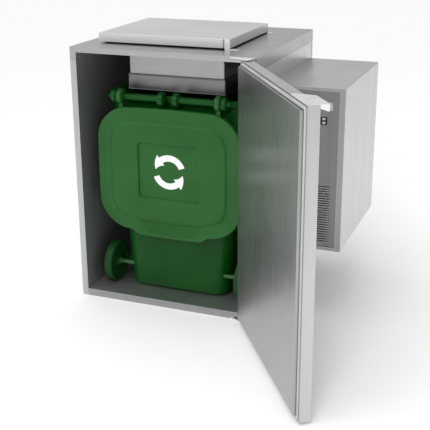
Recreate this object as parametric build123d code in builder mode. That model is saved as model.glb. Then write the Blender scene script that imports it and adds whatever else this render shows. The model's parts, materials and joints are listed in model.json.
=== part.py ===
"""Refrigerated waste-bin cabinet with a two-wheeled bin inside, in millimetres.

An insulated steel cabinet stands on the floor. Its door hangs on two pins at the
right, a feed lid closes the filling hole in the roof, and a cooling unit hangs on
the right wall. The origin is the middle of the cabinet's base, on the floor.
X points right, Y points to the back, Z points up, and the door is at the front.
"""

import os

from build123d import *

os.makedirs("parts", exist_ok=True)

# ---- driving dimensions ----
WIDTH, DEPTH, HEIGHT = 880.0, 860.0, 1200.0
WALL = 30.0  # finished side and back wall
FLOOR = 34.0  # top of the inner floor
SHEET = 1.5  # steel sheet
CAP = 60.0  # height of the roof cap's skirts
CEILING = 24.0  # roof thickness over the bin
GAP = 0.4  # running gap between pieces that move

# filling hole and its telescopic chute
HOLE_X = (-236.0, 228.0)
HOLE_Y = (-250.0, 210.0)
THROAT_LOW = 1040.0
THROAT_SHEET = 2.0
SLEEVE_GAP = 6.0
SLEEVE_LOW, SLEEVE_HIGH = 990.0, 1063.0

# feed lid
LID_X = (-366.0, 266.0)
LID_Y = (-290.0, 248.0)
LID_LOW, LID_HIGH = 1207.0, 1246.0
LID_AXIS_X, LID_AXIS_Z = 254.0, 1228.0
LID_PIN_R = 4.0
LID_BUSH_R = 8.0
LID_EAR = 3.0
LID_NOTCH = 31.0

# door, in its own plane: x runs from the pivot to the free edge, y from the inner to the outer face
DOOR_OPEN = 124.0
DOOR_WIDTH = 850.0
DOOR_LOW, DOOR_HIGH = 12.0, 1192.0
DOOR_THICK = 46.0
DOOR_IN = 24.0  # pivot to the pan's inner face
DOOR_EDGE = 16.0  # pivot to the hinge-side edge
PIVOT_FRONT = 30.0  # pivot in front of the cabinet
PLUG_DEEP = 18.0
PLUG_INSET = 19.0
PLUG_LOW, PLUG_HIGH = 37.0, 1173.0
HINGE_PIN_R = 6.0
HINGE_BUSH_R = 10.0

# cooling unit on the right wall
UNIT_WIDE = 340.0
UNIT_Y = (-279.0, 393.0)
UNIT_Z = (332.0, 1064.0)
UNIT_RIM = 27.0
SLOTS = 24

# bin
WHEEL_R = 100.0
WHEEL_WIDE = 40.0
WHEEL_IN = 311.0  # inner face of a wheel from the middle
AXLE_Y = -275.0
AXLE_R = 10.0
BAR_Y, BAR_Z = -345.0, 975.0
BAR_R = 15.0
BIN_WALL = 4.0
RIM_LOW, RIM_HIGH = 953.0, 978.0
BIN_LID_HALF = 351.0
BIN_LID_Z = (345.0, 935.0)
BIN_LID_Y = (-385.0, -357.0)

# ---- derived places ----
LEFT, RIGHT = -WIDTH / 2, WIDTH / 2
FRONT, BACK = -DEPTH / 2, DEPTH / 2
IN_LEFT, IN_RIGHT, IN_BACK = LEFT + WALL, RIGHT - WALL, BACK - WALL
CAP_LOW = HEIGHT - CAP
CEILING_Z = HEIGHT - CEILING
PIVOT_X = RIGHT - DOOR_EDGE * 2
PIVOT_Y = FRONT - PIVOT_FRONT
AXLE_Z = FLOOR + GAP + WHEEL_R
UNIT_X = (RIGHT, RIGHT + UNIT_WIDE)

# The door is drawn open, as it stands at rest.
closed_direction = Vector(-1, 0, 0)
door_direction = closed_direction.rotate(Axis.Z, DOOR_OPEN)
DOOR = Plane(origin=(PIVOT_X, PIVOT_Y, 0), x_dir=door_direction, z_dir=(0, 0, 1))


def block(x, y, z, mode=Mode.ADD):
    """A box between two values on each axis, in the sub-part being built."""
    with Locations((x[0], y[0], z[0])):
        Box(x[1] - x[0], y[1] - y[0], z[1] - z[0], align=(Align.MIN,) * 3, mode=mode)


def rod(start, direction, radius, length, mode=Mode.ADD):
    """A round bar from a start point, along a direction, in the sub-part being built."""
    plane = Plane(origin=start, z_dir=direction)
    with Locations(plane.location):
        Cylinder(radius, length, align=(Align.CENTER, Align.CENTER, Align.MIN), mode=mode)


def inset(span, amount):
    """A span made smaller by the same amount at both ends."""
    return (span[0] + amount, span[1] - amount)


# ---- walls: each is a folded outer pan, a foam core and an inner liner ----
WALL_Y = (FRONT, IN_BACK)
LEFT_X = (LEFT, IN_LEFT - SHEET)
RIGHT_X = (IN_RIGHT + SHEET, RIGHT)
PANEL_HOLLOW_Z = (SHEET, CAP_LOW - SHEET)
PIPE_HOLE_Y, PIPE_HOLE_Z, PIPE_HOLE_R = 300.0, 1030.0, 22.0

with BuildPart() as left_outer_panel:
    block(LEFT_X, WALL_Y, (0, CAP_LOW))
    block((LEFT + SHEET, IN_LEFT), inset(WALL_Y, SHEET), PANEL_HOLLOW_Z, Mode.SUBTRACT)
left_outer_panel.part.label = "left_outer_panel"
export_step(left_outer_panel.part, "parts/left_outer_panel.step")

with BuildPart() as left_wall_foam:
    block((LEFT + SHEET, IN_LEFT - SHEET), inset(WALL_Y, SHEET), PANEL_HOLLOW_Z)
left_wall_foam.part.label = "left_wall_foam"
export_step(left_wall_foam.part, "parts/left_wall_foam.step")

with BuildPart() as left_liner:
    block((IN_LEFT - SHEET, IN_LEFT), WALL_Y, (0, CAP_LOW))
left_liner.part.label = "left_liner"
export_step(left_liner.part, "parts/left_liner.step")

with BuildPart() as right_outer_panel:
    block(RIGHT_X, WALL_Y, (0, CAP_LOW))
    block((IN_RIGHT, RIGHT - SHEET), inset(WALL_Y, SHEET), PANEL_HOLLOW_Z, Mode.SUBTRACT)
    rod((IN_RIGHT, PIPE_HOLE_Y, PIPE_HOLE_Z), (1, 0, 0), PIPE_HOLE_R, WALL, Mode.SUBTRACT)
right_outer_panel.part.label = "right_outer_panel"
export_step(right_outer_panel.part, "parts/right_outer_panel.step")

with BuildPart() as right_wall_foam:
    block((IN_RIGHT + SHEET, RIGHT - SHEET), inset(WALL_Y, SHEET), PANEL_HOLLOW_Z)
    rod((IN_RIGHT, PIPE_HOLE_Y, PIPE_HOLE_Z), (1, 0, 0), PIPE_HOLE_R, WALL, Mode.SUBTRACT)
right_wall_foam.part.label = "right_wall_foam"
export_step(right_wall_foam.part, "parts/right_wall_foam.step")

with BuildPart() as right_liner:
    block((IN_RIGHT, IN_RIGHT + SHEET), WALL_Y, (0, CAP_LOW))
    rod((IN_RIGHT, PIPE_HOLE_Y, PIPE_HOLE_Z), (1, 0, 0), PIPE_HOLE_R, WALL, Mode.SUBTRACT)
right_liner.part.label = "right_liner"
export_step(right_liner.part, "parts/right_liner.step")

with BuildPart() as back_outer_panel:
    block((LEFT, RIGHT), (IN_BACK + SHEET, BACK), (0, CAP_LOW))
    block(inset((LEFT, RIGHT), SHEET), (IN_BACK, BACK - SHEET), PANEL_HOLLOW_Z, Mode.SUBTRACT)
back_outer_panel.part.label = "back_outer_panel"
export_step(back_outer_panel.part, "parts/back_outer_panel.step")

with BuildPart() as back_wall_foam:
    block(inset((LEFT, RIGHT), SHEET), (IN_BACK + SHEET, BACK - SHEET), PANEL_HOLLOW_Z)
back_wall_foam.part.label = "back_wall_foam"
export_step(back_wall_foam.part, "parts/back_wall_foam.step")

with BuildPart() as back_liner:
    block((LEFT, RIGHT), (IN_BACK, IN_BACK + SHEET), (0, CAP_LOW))
back_liner.part.label = "back_liner"
export_step(back_liner.part, "parts/back_liner.step")

# ---- floor between the side walls ----
PLATE = 4.0  # hinge plates
PLATE_LEFT, PLATE_RIGHT = 90.0, 22.0  # how far a plate reaches either side of the pivot
PLATE_X = (PIVOT_X - PLATE_LEFT, PIVOT_X + PLATE_RIGHT)
PLATE_DEEP = 50.0  # how far a hinge plate runs into the cabinet
FLOOR_X = (IN_LEFT, IN_RIGHT)
# The plates stop short of the side walls' rims, inside the floor and the roof.
BOTTOM_PLATE_X = (PIVOT_X - PLATE_LEFT, IN_RIGHT - SHEET)
BOTTOM_PLATE_Z = (SHEET, SHEET + PLATE)
TOP_PLATE_Z = (HEIGHT - SHEET - PLATE, HEIGHT - SHEET)
PLATE_Y = (FRONT, FRONT + PLATE_DEEP)

with BuildPart() as base_pan:
    block(FLOOR_X, WALL_Y, (0, FLOOR - SHEET))
    block(FLOOR_X, (FRONT + SHEET, IN_BACK - SHEET), (SHEET, FLOOR), Mode.SUBTRACT)
    block(BOTTOM_PLATE_X, PLATE_Y, BOTTOM_PLATE_Z, Mode.SUBTRACT)
base_pan.part.label = "base_pan"
export_step(base_pan.part, "parts/base_pan.step")

with BuildPart() as floor_foam:
    block(FLOOR_X, inset(WALL_Y, SHEET), (SHEET, FLOOR - SHEET))
    block(BOTTOM_PLATE_X, PLATE_Y, BOTTOM_PLATE_Z, Mode.SUBTRACT)
floor_foam.part.label = "floor_foam"
export_step(floor_foam.part, "parts/floor_foam.step")

with BuildPart() as floor_liner:
    block(FLOOR_X, WALL_Y, (FLOOR - SHEET, FLOOR))
floor_liner.part.label = "floor_liner"
export_step(floor_liner.part, "parts/floor_liner.step")

# ---- roof: a cap with deep skirts on three sides and over the front corners ----
ALL_X, ALL_Y = (LEFT, RIGHT), (FRONT, BACK)
HOLE_Z = (THROAT_LOW, HEIGHT)
SKIN_Z = (CEILING_Z + SHEET, HEIGHT - SHEET)  # the foam inside the roof's flat


def roof_skirts(thick, low, high, mode=Mode.ADD):
    """The roof's left, right and back skirts, set in from the outside by a sheet at each face."""
    side = WALL - SHEET
    for x in ((LEFT + thick, LEFT + side), (RIGHT - side, RIGHT - thick)):
        block(x, inset(ALL_Y, thick), (low, high), mode)
    block(inset(ALL_X, thick), (BACK - side, BACK - thick), (low, high), mode)


with BuildPart() as roof_cap:
    roof_skirts(0, CAP_LOW, CEILING_Z + SHEET)
    block(ALL_X, ALL_Y, (CEILING_Z + SHEET, HEIGHT))
    block((IN_LEFT, IN_RIGHT), (FRONT, FRONT + SHEET), (CEILING_Z, CEILING_Z + SHEET))
    roof_skirts(SHEET, CAP_LOW + SHEET, CEILING_Z + SHEET, Mode.SUBTRACT)
    block(inset(ALL_X, SHEET), inset(ALL_Y, SHEET), SKIN_Z, Mode.SUBTRACT)
    block(HOLE_X, HOLE_Y, HOLE_Z, Mode.SUBTRACT)
    block(PLATE_X, PLATE_Y, TOP_PLATE_Z, Mode.SUBTRACT)
roof_cap.part.label = "roof_cap"
export_step(roof_cap.part, "parts/roof_cap.step")

with BuildPart() as roof_foam:
    roof_skirts(SHEET, CAP_LOW + SHEET, CEILING_Z + SHEET)
    block(inset(ALL_X, SHEET), inset(ALL_Y, SHEET), SKIN_Z)
    block(HOLE_X, HOLE_Y, HOLE_Z, Mode.SUBTRACT)
    block(PLATE_X, PLATE_Y, TOP_PLATE_Z, Mode.SUBTRACT)
roof_foam.part.label = "roof_foam"
export_step(roof_foam.part, "parts/roof_foam.step")

with BuildPart() as roof_liner:
    block(
        (IN_LEFT - SHEET, IN_RIGHT + SHEET),
        (FRONT + SHEET, IN_BACK + SHEET),
        (CAP_LOW, CEILING_Z + SHEET),
    )
    block((IN_LEFT, IN_RIGHT), (FRONT, IN_BACK), (CAP_LOW, CEILING_Z), Mode.SUBTRACT)
    block(HOLE_X, HOLE_Y, HOLE_Z, Mode.SUBTRACT)
roof_liner.part.label = "roof_liner"
export_step(roof_liner.part, "parts/roof_liner.step")

# ---- chute: a fixed throat with a collar on the roof, and a sleeve that slides up round it ----
COLLAR = 7.0

with BuildPart() as chute_throat:
    block(HOLE_X, HOLE_Y, (THROAT_LOW, HEIGHT))
    block(inset(HOLE_X, -COLLAR), inset(HOLE_Y, -COLLAR), (HEIGHT, HEIGHT + SHEET))
    block(
        inset(HOLE_X, THROAT_SHEET),
        inset(HOLE_Y, THROAT_SHEET),
        (THROAT_LOW, HEIGHT + SHEET),
        Mode.SUBTRACT,
    )
chute_throat.part.label = "chute_throat"
export_step(chute_throat.part, "parts/chute_throat.step")

SLEEVE_X, SLEEVE_Y = inset(HOLE_X, -SLEEVE_GAP), inset(HOLE_Y, -SLEEVE_GAP)
SLEEVE_OUT_X, SLEEVE_OUT_Y = inset(SLEEVE_X, -THROAT_SHEET), inset(SLEEVE_Y, -THROAT_SHEET)
GLIDE, GLIDE_HIGH = 40.0, 20.0
GLIDE_Z = (SLEEVE_HIGH - GLIDE_HIGH, SLEEVE_HIGH)
GLIDE_Y = (-180.0, 100.0)
KNOB_Y, KNOB_Z = -20.0, SLEEVE_HIGH - 25.0
KNOB_R, KNOB_LONG = 13.0, 14.0
KNOB_STEM_R, KNOB_STEM = 4.0, 6.0

with BuildPart() as chute_sleeve:
    block(SLEEVE_OUT_X, SLEEVE_OUT_Y, (SLEEVE_LOW, SLEEVE_HIGH))
    block(SLEEVE_X, SLEEVE_Y, (SLEEVE_LOW, SLEEVE_HIGH), Mode.SUBTRACT)
chute_sleeve.part.label = "chute_sleeve"
export_step(chute_sleeve.part, "parts/chute_sleeve.step")

# Nylon glides fill the gap between sleeve and throat, and two knobs clamp the sleeve.
with BuildPart() as sleeve_knobs:
    for end, side in enumerate((-1, 1)):
        for y in GLIDE_Y:
            block(sorted((HOLE_X[end] + side * GAP, SLEEVE_X[end])), (y, y + GLIDE), GLIDE_Z)
        rod((SLEEVE_OUT_X[end], KNOB_Y, KNOB_Z), (side, 0, 0), KNOB_STEM_R, KNOB_STEM)
        rod((SLEEVE_OUT_X[end] + side * KNOB_STEM, KNOB_Y, KNOB_Z), (side, 0, 0), KNOB_R, KNOB_LONG)
sleeve_knobs.part.label = "sleeve_knobs"
export_step(sleeve_knobs.part, "parts/sleeve_knobs.step")

# ---- feed lid: steel pan, foam, under-sheet, seal and two bushes on the pivot line ----
LID_SEAL_INSET = 14.0
LID_SEAL_WIDE = 16.0
LID_NOTCH_Y = 9.0
LID_EDGE_R = 1.2
BUSH_LONG = 24.0
BORE_GAP = 0.05  # between a pin and its bush


def lid_notches():
    """Cuts the lid's two right corners back for the hinge ears."""
    for y in ((LID_Y[0], LID_Y[0] + LID_NOTCH_Y), (LID_Y[1] - LID_NOTCH_Y, LID_Y[1])):
        block((LID_X[1] - LID_NOTCH, LID_X[1]), y, (LID_LOW, LID_HIGH), Mode.SUBTRACT)


def lid_pivots(radius, start, length, mode=Mode.ADD):
    """Round bars on the lid's pivot line, from both ends of the lid inwards."""
    for y, way in ((LID_Y[0], 1), (LID_Y[1], -1)):
        rod((LID_AXIS_X, y + way * start, LID_AXIS_Z), (0, way, 0), radius, length, mode)


with BuildPart() as feed_lid_cover:
    block(LID_X, LID_Y, (LID_LOW, LID_HIGH))
    lid_notches()
    fillet(feed_lid_cover.faces().sort_by(Axis.Z)[-1].edges(), LID_EDGE_R)
    hollow_z = (LID_LOW, LID_HIGH - SHEET)
    block(inset(LID_X, SHEET), inset(LID_Y, LID_NOTCH_Y + SHEET), hollow_z, Mode.SUBTRACT)
    before_notch = (LID_X[0] + SHEET, LID_X[1] - LID_NOTCH - SHEET)
    block(before_notch, inset(LID_Y, SHEET), hollow_z, Mode.SUBTRACT)
    lid_pivots(LID_BUSH_R, LID_NOTCH_Y, BUSH_LONG, Mode.SUBTRACT)
feed_lid_cover.part.label = "feed_lid_cover"
export_step(feed_lid_cover.part, "parts/feed_lid_cover.step")

with BuildPart() as feed_lid_foam:
    foam_z = (LID_LOW + SHEET, LID_HIGH - SHEET)
    block(inset(LID_X, SHEET), inset(LID_Y, LID_NOTCH_Y + SHEET), foam_z)
    lid_pivots(LID_BUSH_R, LID_NOTCH_Y, BUSH_LONG, Mode.SUBTRACT)
feed_lid_foam.part.label = "feed_lid_foam"
export_step(feed_lid_foam.part, "parts/feed_lid_foam.step")

with BuildPart() as feed_lid_underside:
    block(inset(LID_X, SHEET), inset(LID_Y, LID_NOTCH_Y + SHEET), (LID_LOW, LID_LOW + SHEET))
feed_lid_underside.part.label = "feed_lid_underside"
export_step(feed_lid_underside.part, "parts/feed_lid_underside.step")

LID_SEAL_X, LID_SEAL_Y = inset(LID_X, LID_SEAL_INSET), inset(LID_Y, LID_SEAL_INSET)
with BuildPart() as feed_lid_seal:
    block(LID_SEAL_X, LID_SEAL_Y, (HEIGHT + GAP, LID_LOW))
    inside_x, inside_y = inset(LID_SEAL_X, LID_SEAL_WIDE), inset(LID_SEAL_Y, LID_SEAL_WIDE)
    block(inside_x, inside_y, (HEIGHT, LID_LOW), Mode.SUBTRACT)
feed_lid_seal.part.label = "feed_lid_seal"
export_step(feed_lid_seal.part, "parts/feed_lid_seal.step")

with BuildPart() as feed_lid_bushes:
    lid_pivots(LID_BUSH_R, LID_NOTCH_Y, BUSH_LONG)
    lid_pivots(LID_PIN_R + BORE_GAP, LID_NOTCH_Y, BUSH_LONG, Mode.SUBTRACT)
feed_lid_bushes.part.label = "feed_lid_bushes"
export_step(feed_lid_bushes.part, "parts/feed_lid_bushes.step")

# ---- feed lid brackets: an ear beside each right corner, on a rounded foot, with its pin ----
EAR_X = (LID_X[1] - 25.0, LID_X[1])
EAR_TOP = 1243.0
EAR_CORNER = 5.0
EAR_BEND = 12.0  # height of the square bend that joins the ear to its foot
FOOT_X = (LID_X[1] - 10.0, LID_X[1] + 30.0)
FOOT_WIDE = 26.0
FOOT_THICK = 2.5
EAR_SET = 3.0  # ear's outer face from the lid's end
LID_PIN_HEAD_R, LID_PIN_HEAD = 7.0, 2.0
LID_PIN_LONG = 24.0

with BuildPart() as feed_lid_brackets:
    for end, way in ((LID_Y[0], 1), (LID_Y[1], -1)):
        y = end + way * EAR_SET
        middle = y + way * FOOT_WIDE / 2
        with BuildSketch(Plane.XZ.offset(-y if way > 0 else -y + LID_EAR)):
            with Locations(((EAR_X[0] + EAR_X[1]) / 2, (HEIGHT + EAR_TOP) / 2)):
                RectangleRounded(EAR_X[1] - EAR_X[0], EAR_TOP - HEIGHT, EAR_CORNER)
            with Locations(((FOOT_X[0] + EAR_X[1]) / 2, HEIGHT + EAR_BEND / 2)):
                Rectangle(EAR_X[1] - FOOT_X[0], EAR_BEND)
        extrude(amount=-LID_EAR)
        with BuildSketch(Plane.XY.offset(HEIGHT)):
            with Locations(((FOOT_X[0] + FOOT_X[1]) / 2, middle)):
                Rectangle(FOOT_X[1] - FOOT_X[0], FOOT_WIDE)
            with Locations((FOOT_X[1], middle)):
                Circle(FOOT_WIDE / 2)
        extrude(amount=FOOT_THICK)
        pin_start = (LID_AXIS_X, end + way * 1.0, LID_AXIS_Z)
        rod(pin_start, (0, way, 0), LID_PIN_R, LID_PIN_LONG)
        rod(pin_start, (0, way, 0), LID_PIN_HEAD_R, LID_PIN_HEAD)
feed_lid_brackets.part.label = "feed_lid_brackets"
export_step(feed_lid_brackets.part, "parts/feed_lid_brackets.step")

# ---- door hinge plates and pins, fixed to the cabinet ----
TONGUE_R = 16.0
PIN_LONG = 34.0


def plate_tongue(x, low):
    """The tongue of a hinge plate: it reaches forward and ends round about the door's pivot."""
    with BuildSketch(Plane.XY.offset(low)) as tongue:
        with BuildLine():
            Polyline(
                (PIVOT_X + TONGUE_R, PIVOT_Y),
                (min(PIVOT_X + TONGUE_R, x[1]), FRONT),
                (x[0], FRONT),
                (PIVOT_X - TONGUE_R, PIVOT_Y),
            )
            ThreePointArc(
                (PIVOT_X - TONGUE_R, PIVOT_Y),
                (PIVOT_X, PIVOT_Y - TONGUE_R),
                (PIVOT_X + TONGUE_R, PIVOT_Y),
            )
        make_face()
    extrude(tongue.sketch, amount=PLATE)


with BuildPart() as top_hinge_plate:
    block(PLATE_X, PLATE_Y, TOP_PLATE_Z)
    plate_tongue(PLATE_X, TOP_PLATE_Z[0])
top_hinge_plate.part.label = "top_hinge_plate"
export_step(top_hinge_plate.part, "parts/top_hinge_plate.step")

with BuildPart() as bottom_hinge_plate:
    block(BOTTOM_PLATE_X, PLATE_Y, BOTTOM_PLATE_Z)
    plate_tongue(BOTTOM_PLATE_X, BOTTOM_PLATE_Z[0])
bottom_hinge_plate.part.label = "bottom_hinge_plate"
export_step(bottom_hinge_plate.part, "parts/bottom_hinge_plate.step")

with BuildPart() as door_hinge_pins:
    rod((PIVOT_X, PIVOT_Y, TOP_PLATE_Z[0]), (0, 0, -1), HINGE_PIN_R, PIN_LONG)
    rod((PIVOT_X, PIVOT_Y, BOTTOM_PLATE_Z[1]), (0, 0, 1), HINGE_PIN_R, PIN_LONG)
door_hinge_pins.part.label = "door_hinge_pins"
export_step(door_hinge_pins.part, "parts/door_hinge_pins.step")

# ---- door: folded outer pan, foam, inner panel with a raised plug, seal, handle and bushes ----
PAN_X = (-DOOR_EDGE, DOOR_WIDTH - DOOR_EDGE)
PAN_Y = (-DOOR_IN, DOOR_THICK - DOOR_IN)
PAN_Z = (DOOR_LOW, DOOR_HIGH)
PLUG_X = inset(PAN_X, PLUG_INSET)
PLUG_Y = (-DOOR_IN - PLUG_DEEP, -DOOR_IN)
PLUG_Z = (PLUG_LOW, PLUG_HIGH)
DOOR_BUSH_LONG = 40.0


def door_bush_holes(radius):
    """Opens the door's top and bottom for its two bushes."""
    rod((0, 0, DOOR_LOW), (0, 0, 1), radius, DOOR_BUSH_LONG, Mode.SUBTRACT)
    rod((0, 0, DOOR_HIGH), (0, 0, -1), radius, DOOR_BUSH_LONG, Mode.SUBTRACT)


with BuildPart(DOOR) as door_outer_pan:
    block(PAN_X, (PAN_Y[0] + SHEET, PAN_Y[1]), PAN_Z)
    block(inset(PAN_X, SHEET), (PAN_Y[0], PAN_Y[1] - SHEET), inset(PAN_Z, SHEET), Mode.SUBTRACT)
    door_bush_holes(HINGE_BUSH_R)
door_outer_pan.part.label = "door_outer_pan"
export_step(door_outer_pan.part, "parts/door_outer_pan.step")

with BuildPart(DOOR) as door_foam:
    block(inset(PAN_X, SHEET), (PAN_Y[0] + SHEET, PAN_Y[1] - SHEET), inset(PAN_Z, SHEET))
    block(inset(PLUG_X, SHEET), (PLUG_Y[0] + SHEET, PAN_Y[0] + SHEET), inset(PLUG_Z, SHEET))
    door_bush_holes(HINGE_BUSH_R)
door_foam.part.label = "door_foam"
export_step(door_foam.part, "parts/door_foam.step")

with BuildPart(DOOR) as door_inner_panel:
    block(PAN_X, (PAN_Y[0], PAN_Y[0] + SHEET), PAN_Z)
    block(PLUG_X, PLUG_Y, PLUG_Z)
    behind = (PLUG_Y[0] + SHEET, PAN_Y[0] + SHEET)
    block(inset(PLUG_X, SHEET), behind, inset(PLUG_Z, SHEET), Mode.SUBTRACT)
door_inner_panel.part.label = "door_inner_panel"
export_step(door_inner_panel.part, "parts/door_inner_panel.step")

SEAL_THICK = 5.0
SEAL_INSET = 7.0
SEAL_BEVEL = 3.5
SEAL_Y = (PAN_Y[0] - SEAL_THICK, PAN_Y[0])


def across(edge):
    """An edge's place along the door, from the pivot."""
    return DOOR.to_local_coords(edge.center()).X


def through(edge):
    """An edge's place through the door's thickness."""
    return DOOR.to_local_coords(edge.center()).Y


with BuildPart(DOOR) as door_seal:
    block(inset(PAN_X, SEAL_INSET), SEAL_Y, inset(PAN_Z, SEAL_INSET))
    block(inset(PLUG_X, -1.0), SEAL_Y, inset(PLUG_Z, -1.0), Mode.SUBTRACT)
    # The seal's hinge-side edge is bevelled so that it swings clear of the cabinet.
    hinge_side = door_seal.edges().filter_by(Axis.Z).group_by(across)[0]
    chamfer(hinge_side.sort_by(through)[0], SEAL_BEVEL)
door_seal.part.label = "door_seal"
export_step(door_seal.part, "parts/door_seal.step")

HANDLE_LONG = 160.0
HANDLE_OUT = 32.0
HANDLE_DROP = 24.0
HANDLE_SHEET = 2.5
HANDLE_TAIL = 20.0  # the flat beyond the grip, on the door's top edge
HANDLE_TAIL_DEEP = 14.0
HANDLE_SLANT = 30.0  # run of the slanted end of the grip
HANDLE_X = (PAN_X[1] - HANDLE_LONG, PAN_X[1])
LIP_Y = (PAN_Y[1] + HANDLE_OUT - HANDLE_SHEET, PAN_Y[1] + HANDLE_OUT)

with BuildPart(DOOR) as door_handle:
    with BuildSketch(DOOR.offset(DOOR_HIGH)):
        with BuildLine():
            Polyline(
                (HANDLE_X[1], LIP_Y[1]),
                (HANDLE_X[1], PAN_Y[0]),
                (HANDLE_X[0] - HANDLE_TAIL, PAN_Y[0]),
                (HANDLE_X[0] - HANDLE_TAIL, PAN_Y[0] + HANDLE_TAIL_DEEP),
                (HANDLE_X[0], PAN_Y[1]),
                (HANDLE_X[0] + HANDLE_SLANT, LIP_Y[1]),
                (HANDLE_X[1], LIP_Y[1]),
            )
        make_face()
    extrude(amount=HANDLE_SHEET)
    lip_x = (HANDLE_X[0] + HANDLE_SLANT, HANDLE_X[1])
    block(lip_x, LIP_Y, (DOOR_HIGH - HANDLE_DROP, DOOR_HIGH))
    for x in (lip_x[0], lip_x[1] - HANDLE_SHEET):
        end = DOOR.from_local_coords((x, 0, 0))
        with BuildSketch(Plane(origin=end, x_dir=DOOR.y_dir, z_dir=DOOR.x_dir)):
            with BuildLine():
                Polyline(
                    (PAN_Y[1], DOOR_HIGH),
                    (LIP_Y[0], DOOR_HIGH),
                    (LIP_Y[0], DOOR_HIGH - HANDLE_DROP),
                    (PAN_Y[1], DOOR_HIGH - HANDLE_DROP / 2),
                    (PAN_Y[1], DOOR_HIGH),
                )
            make_face()
        extrude(amount=HANDLE_SHEET)
door_handle.part.label = "door_handle"
export_step(door_handle.part, "parts/door_handle.step")

BUSH_COLLAR = 2.5
BUSH_COLLAR_R = HINGE_BUSH_R + 3.0
with BuildPart(DOOR) as door_hinge_bushes:
    for z, way in ((DOOR_LOW, 1), (DOOR_HIGH, -1)):
        rod((0, 0, z), (0, 0, way), HINGE_BUSH_R, DOOR_BUSH_LONG)
        rod((0, 0, z), (0, 0, -way), BUSH_COLLAR_R, BUSH_COLLAR)
        collar_end = (0, 0, z - way * BUSH_COLLAR)
        rod(collar_end, (0, 0, way), HINGE_PIN_R + BORE_GAP, DOOR_BUSH_LONG, Mode.SUBTRACT)
door_hinge_bushes.part.label = "door_hinge_bushes"
export_step(door_hinge_bushes.part, "parts/door_hinge_bushes.step")

# ---- cooling unit casing: top, right, bottom and back sheets with a rim round the front ----
PANEL_BACK = 4.0  # front panel set back from the rim
RIM_TOP = 16.0
PANEL_X = (UNIT_X[0] + RIM_TOP, UNIT_X[1] - UNIT_RIM)
PANEL_Z = inset(UNIT_Z, RIM_TOP)
PANEL_Y = (UNIT_Y[0] + PANEL_BACK, UNIT_Y[0] + PANEL_BACK + SHEET)
INNER_X = (UNIT_X[0] + SHEET, UNIT_X[1] - SHEET)
INNER_Z = inset(UNIT_Z, SHEET)
BACK_VENT_Z = [UNIT_Z[0] + 120.0 + 22.0 * row for row in range(12)]
BACK_VENT_X = inset(UNIT_X, 80.0)
BACK_VENT_HIGH = 8.0
WALL_SIDE_OPEN = 15.0  # the casing's open side against the wall, inside its flange
CASING_CORNER = 1.0

with BuildPart() as unit_casing:
    block(UNIT_X, UNIT_Y, UNIT_Z)
    block(INNER_X, (UNIT_Y[0] + 2 * SHEET, UNIT_Y[1] - SHEET), INNER_Z, Mode.SUBTRACT)
    block(PANEL_X, (UNIT_Y[0], PANEL_Y[1]), PANEL_Z, Mode.SUBTRACT)
    wall_side = (inset(UNIT_Y, WALL_SIDE_OPEN), inset(UNIT_Z, WALL_SIDE_OPEN))
    block((RIGHT, RIGHT + SHEET), *wall_side, Mode.SUBTRACT)
    for z in BACK_VENT_Z:
        back_sheet = (UNIT_Y[1] - SHEET, UNIT_Y[1])
        block(BACK_VENT_X, back_sheet, (z, z + BACK_VENT_HIGH), Mode.SUBTRACT)
    fillet(unit_casing.edges().filter_by(Axis.Y).group_by(Axis.X)[-1], CASING_CORNER)
unit_casing.part.label = "unit_casing"
export_step(unit_casing.part, "parts/unit_casing.step")

SLOT_X = (UNIT_X[0] + 120.0, UNIT_X[0] + 285.0)
SLOT_Z = (374.0, 627.0)
SLOT_HIGH = 4.5
SLOT_PITCH = (SLOT_Z[1] - SLOT_Z[0]) / (SLOTS - 1)
CONTROL_X = (UNIT_X[0] + 192.0, UNIT_X[0] + 262.0)
CONTROL_Z = (903.0, 938.0)
CONTROL_DEEP = 45.0
CONTROL_LIP = 2.0  # the bezel's overlap on the panel
BUTTON_X = CONTROL_X[1] - 14.0
BUTTON_Z = {"button_up": 929.0, "button_down": 912.0}
BUTTON = (12.0, 9.0)
DISPLAY_X = (CONTROL_X[0] + 5.0, CONTROL_X[1] - 26.0)
DISPLAY_Z = inset(CONTROL_Z, 5.0)
DISPLAY_DEEP = 2.0

with BuildPart() as unit_front_panel:
    block(PANEL_X, PANEL_Y, PANEL_Z)
    middle_x = (SLOT_X[0] + SLOT_X[1]) / 2
    middle_z = (SLOT_Z[0] + SLOT_Z[1]) / 2
    with BuildSketch(Plane.XZ.offset(-PANEL_Y[0])):
        with Locations((middle_x, middle_z)):
            with GridLocations(1.0, SLOT_PITCH, 1, SLOTS):
                SlotOverall(SLOT_X[1] - SLOT_X[0], SLOT_HIGH)
    extrude(amount=-SHEET, mode=Mode.SUBTRACT)
    block(inset(CONTROL_X, CONTROL_LIP), PANEL_Y, inset(CONTROL_Z, CONTROL_LIP), Mode.SUBTRACT)
unit_front_panel.part.label = "unit_front_panel"
export_step(unit_front_panel.part, "parts/unit_front_panel.step")

# ---- controller: housing through the panel, display window and two push buttons ----
BEZEL_FRONT = PANEL_Y[0] - 2.5
POCKET = BEZEL_FRONT + 6.0
TRAVEL = 1.5
BUTTON_PROUD = 1.5
BUTTON_EDGE_R = 0.8
CONTROL_BODY = CONTROL_LIP + GAP  # the body's set-in from the bezel's edge
DISPLAY_Y = (BEZEL_FRONT, BEZEL_FRONT + DISPLAY_DEEP)

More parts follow.
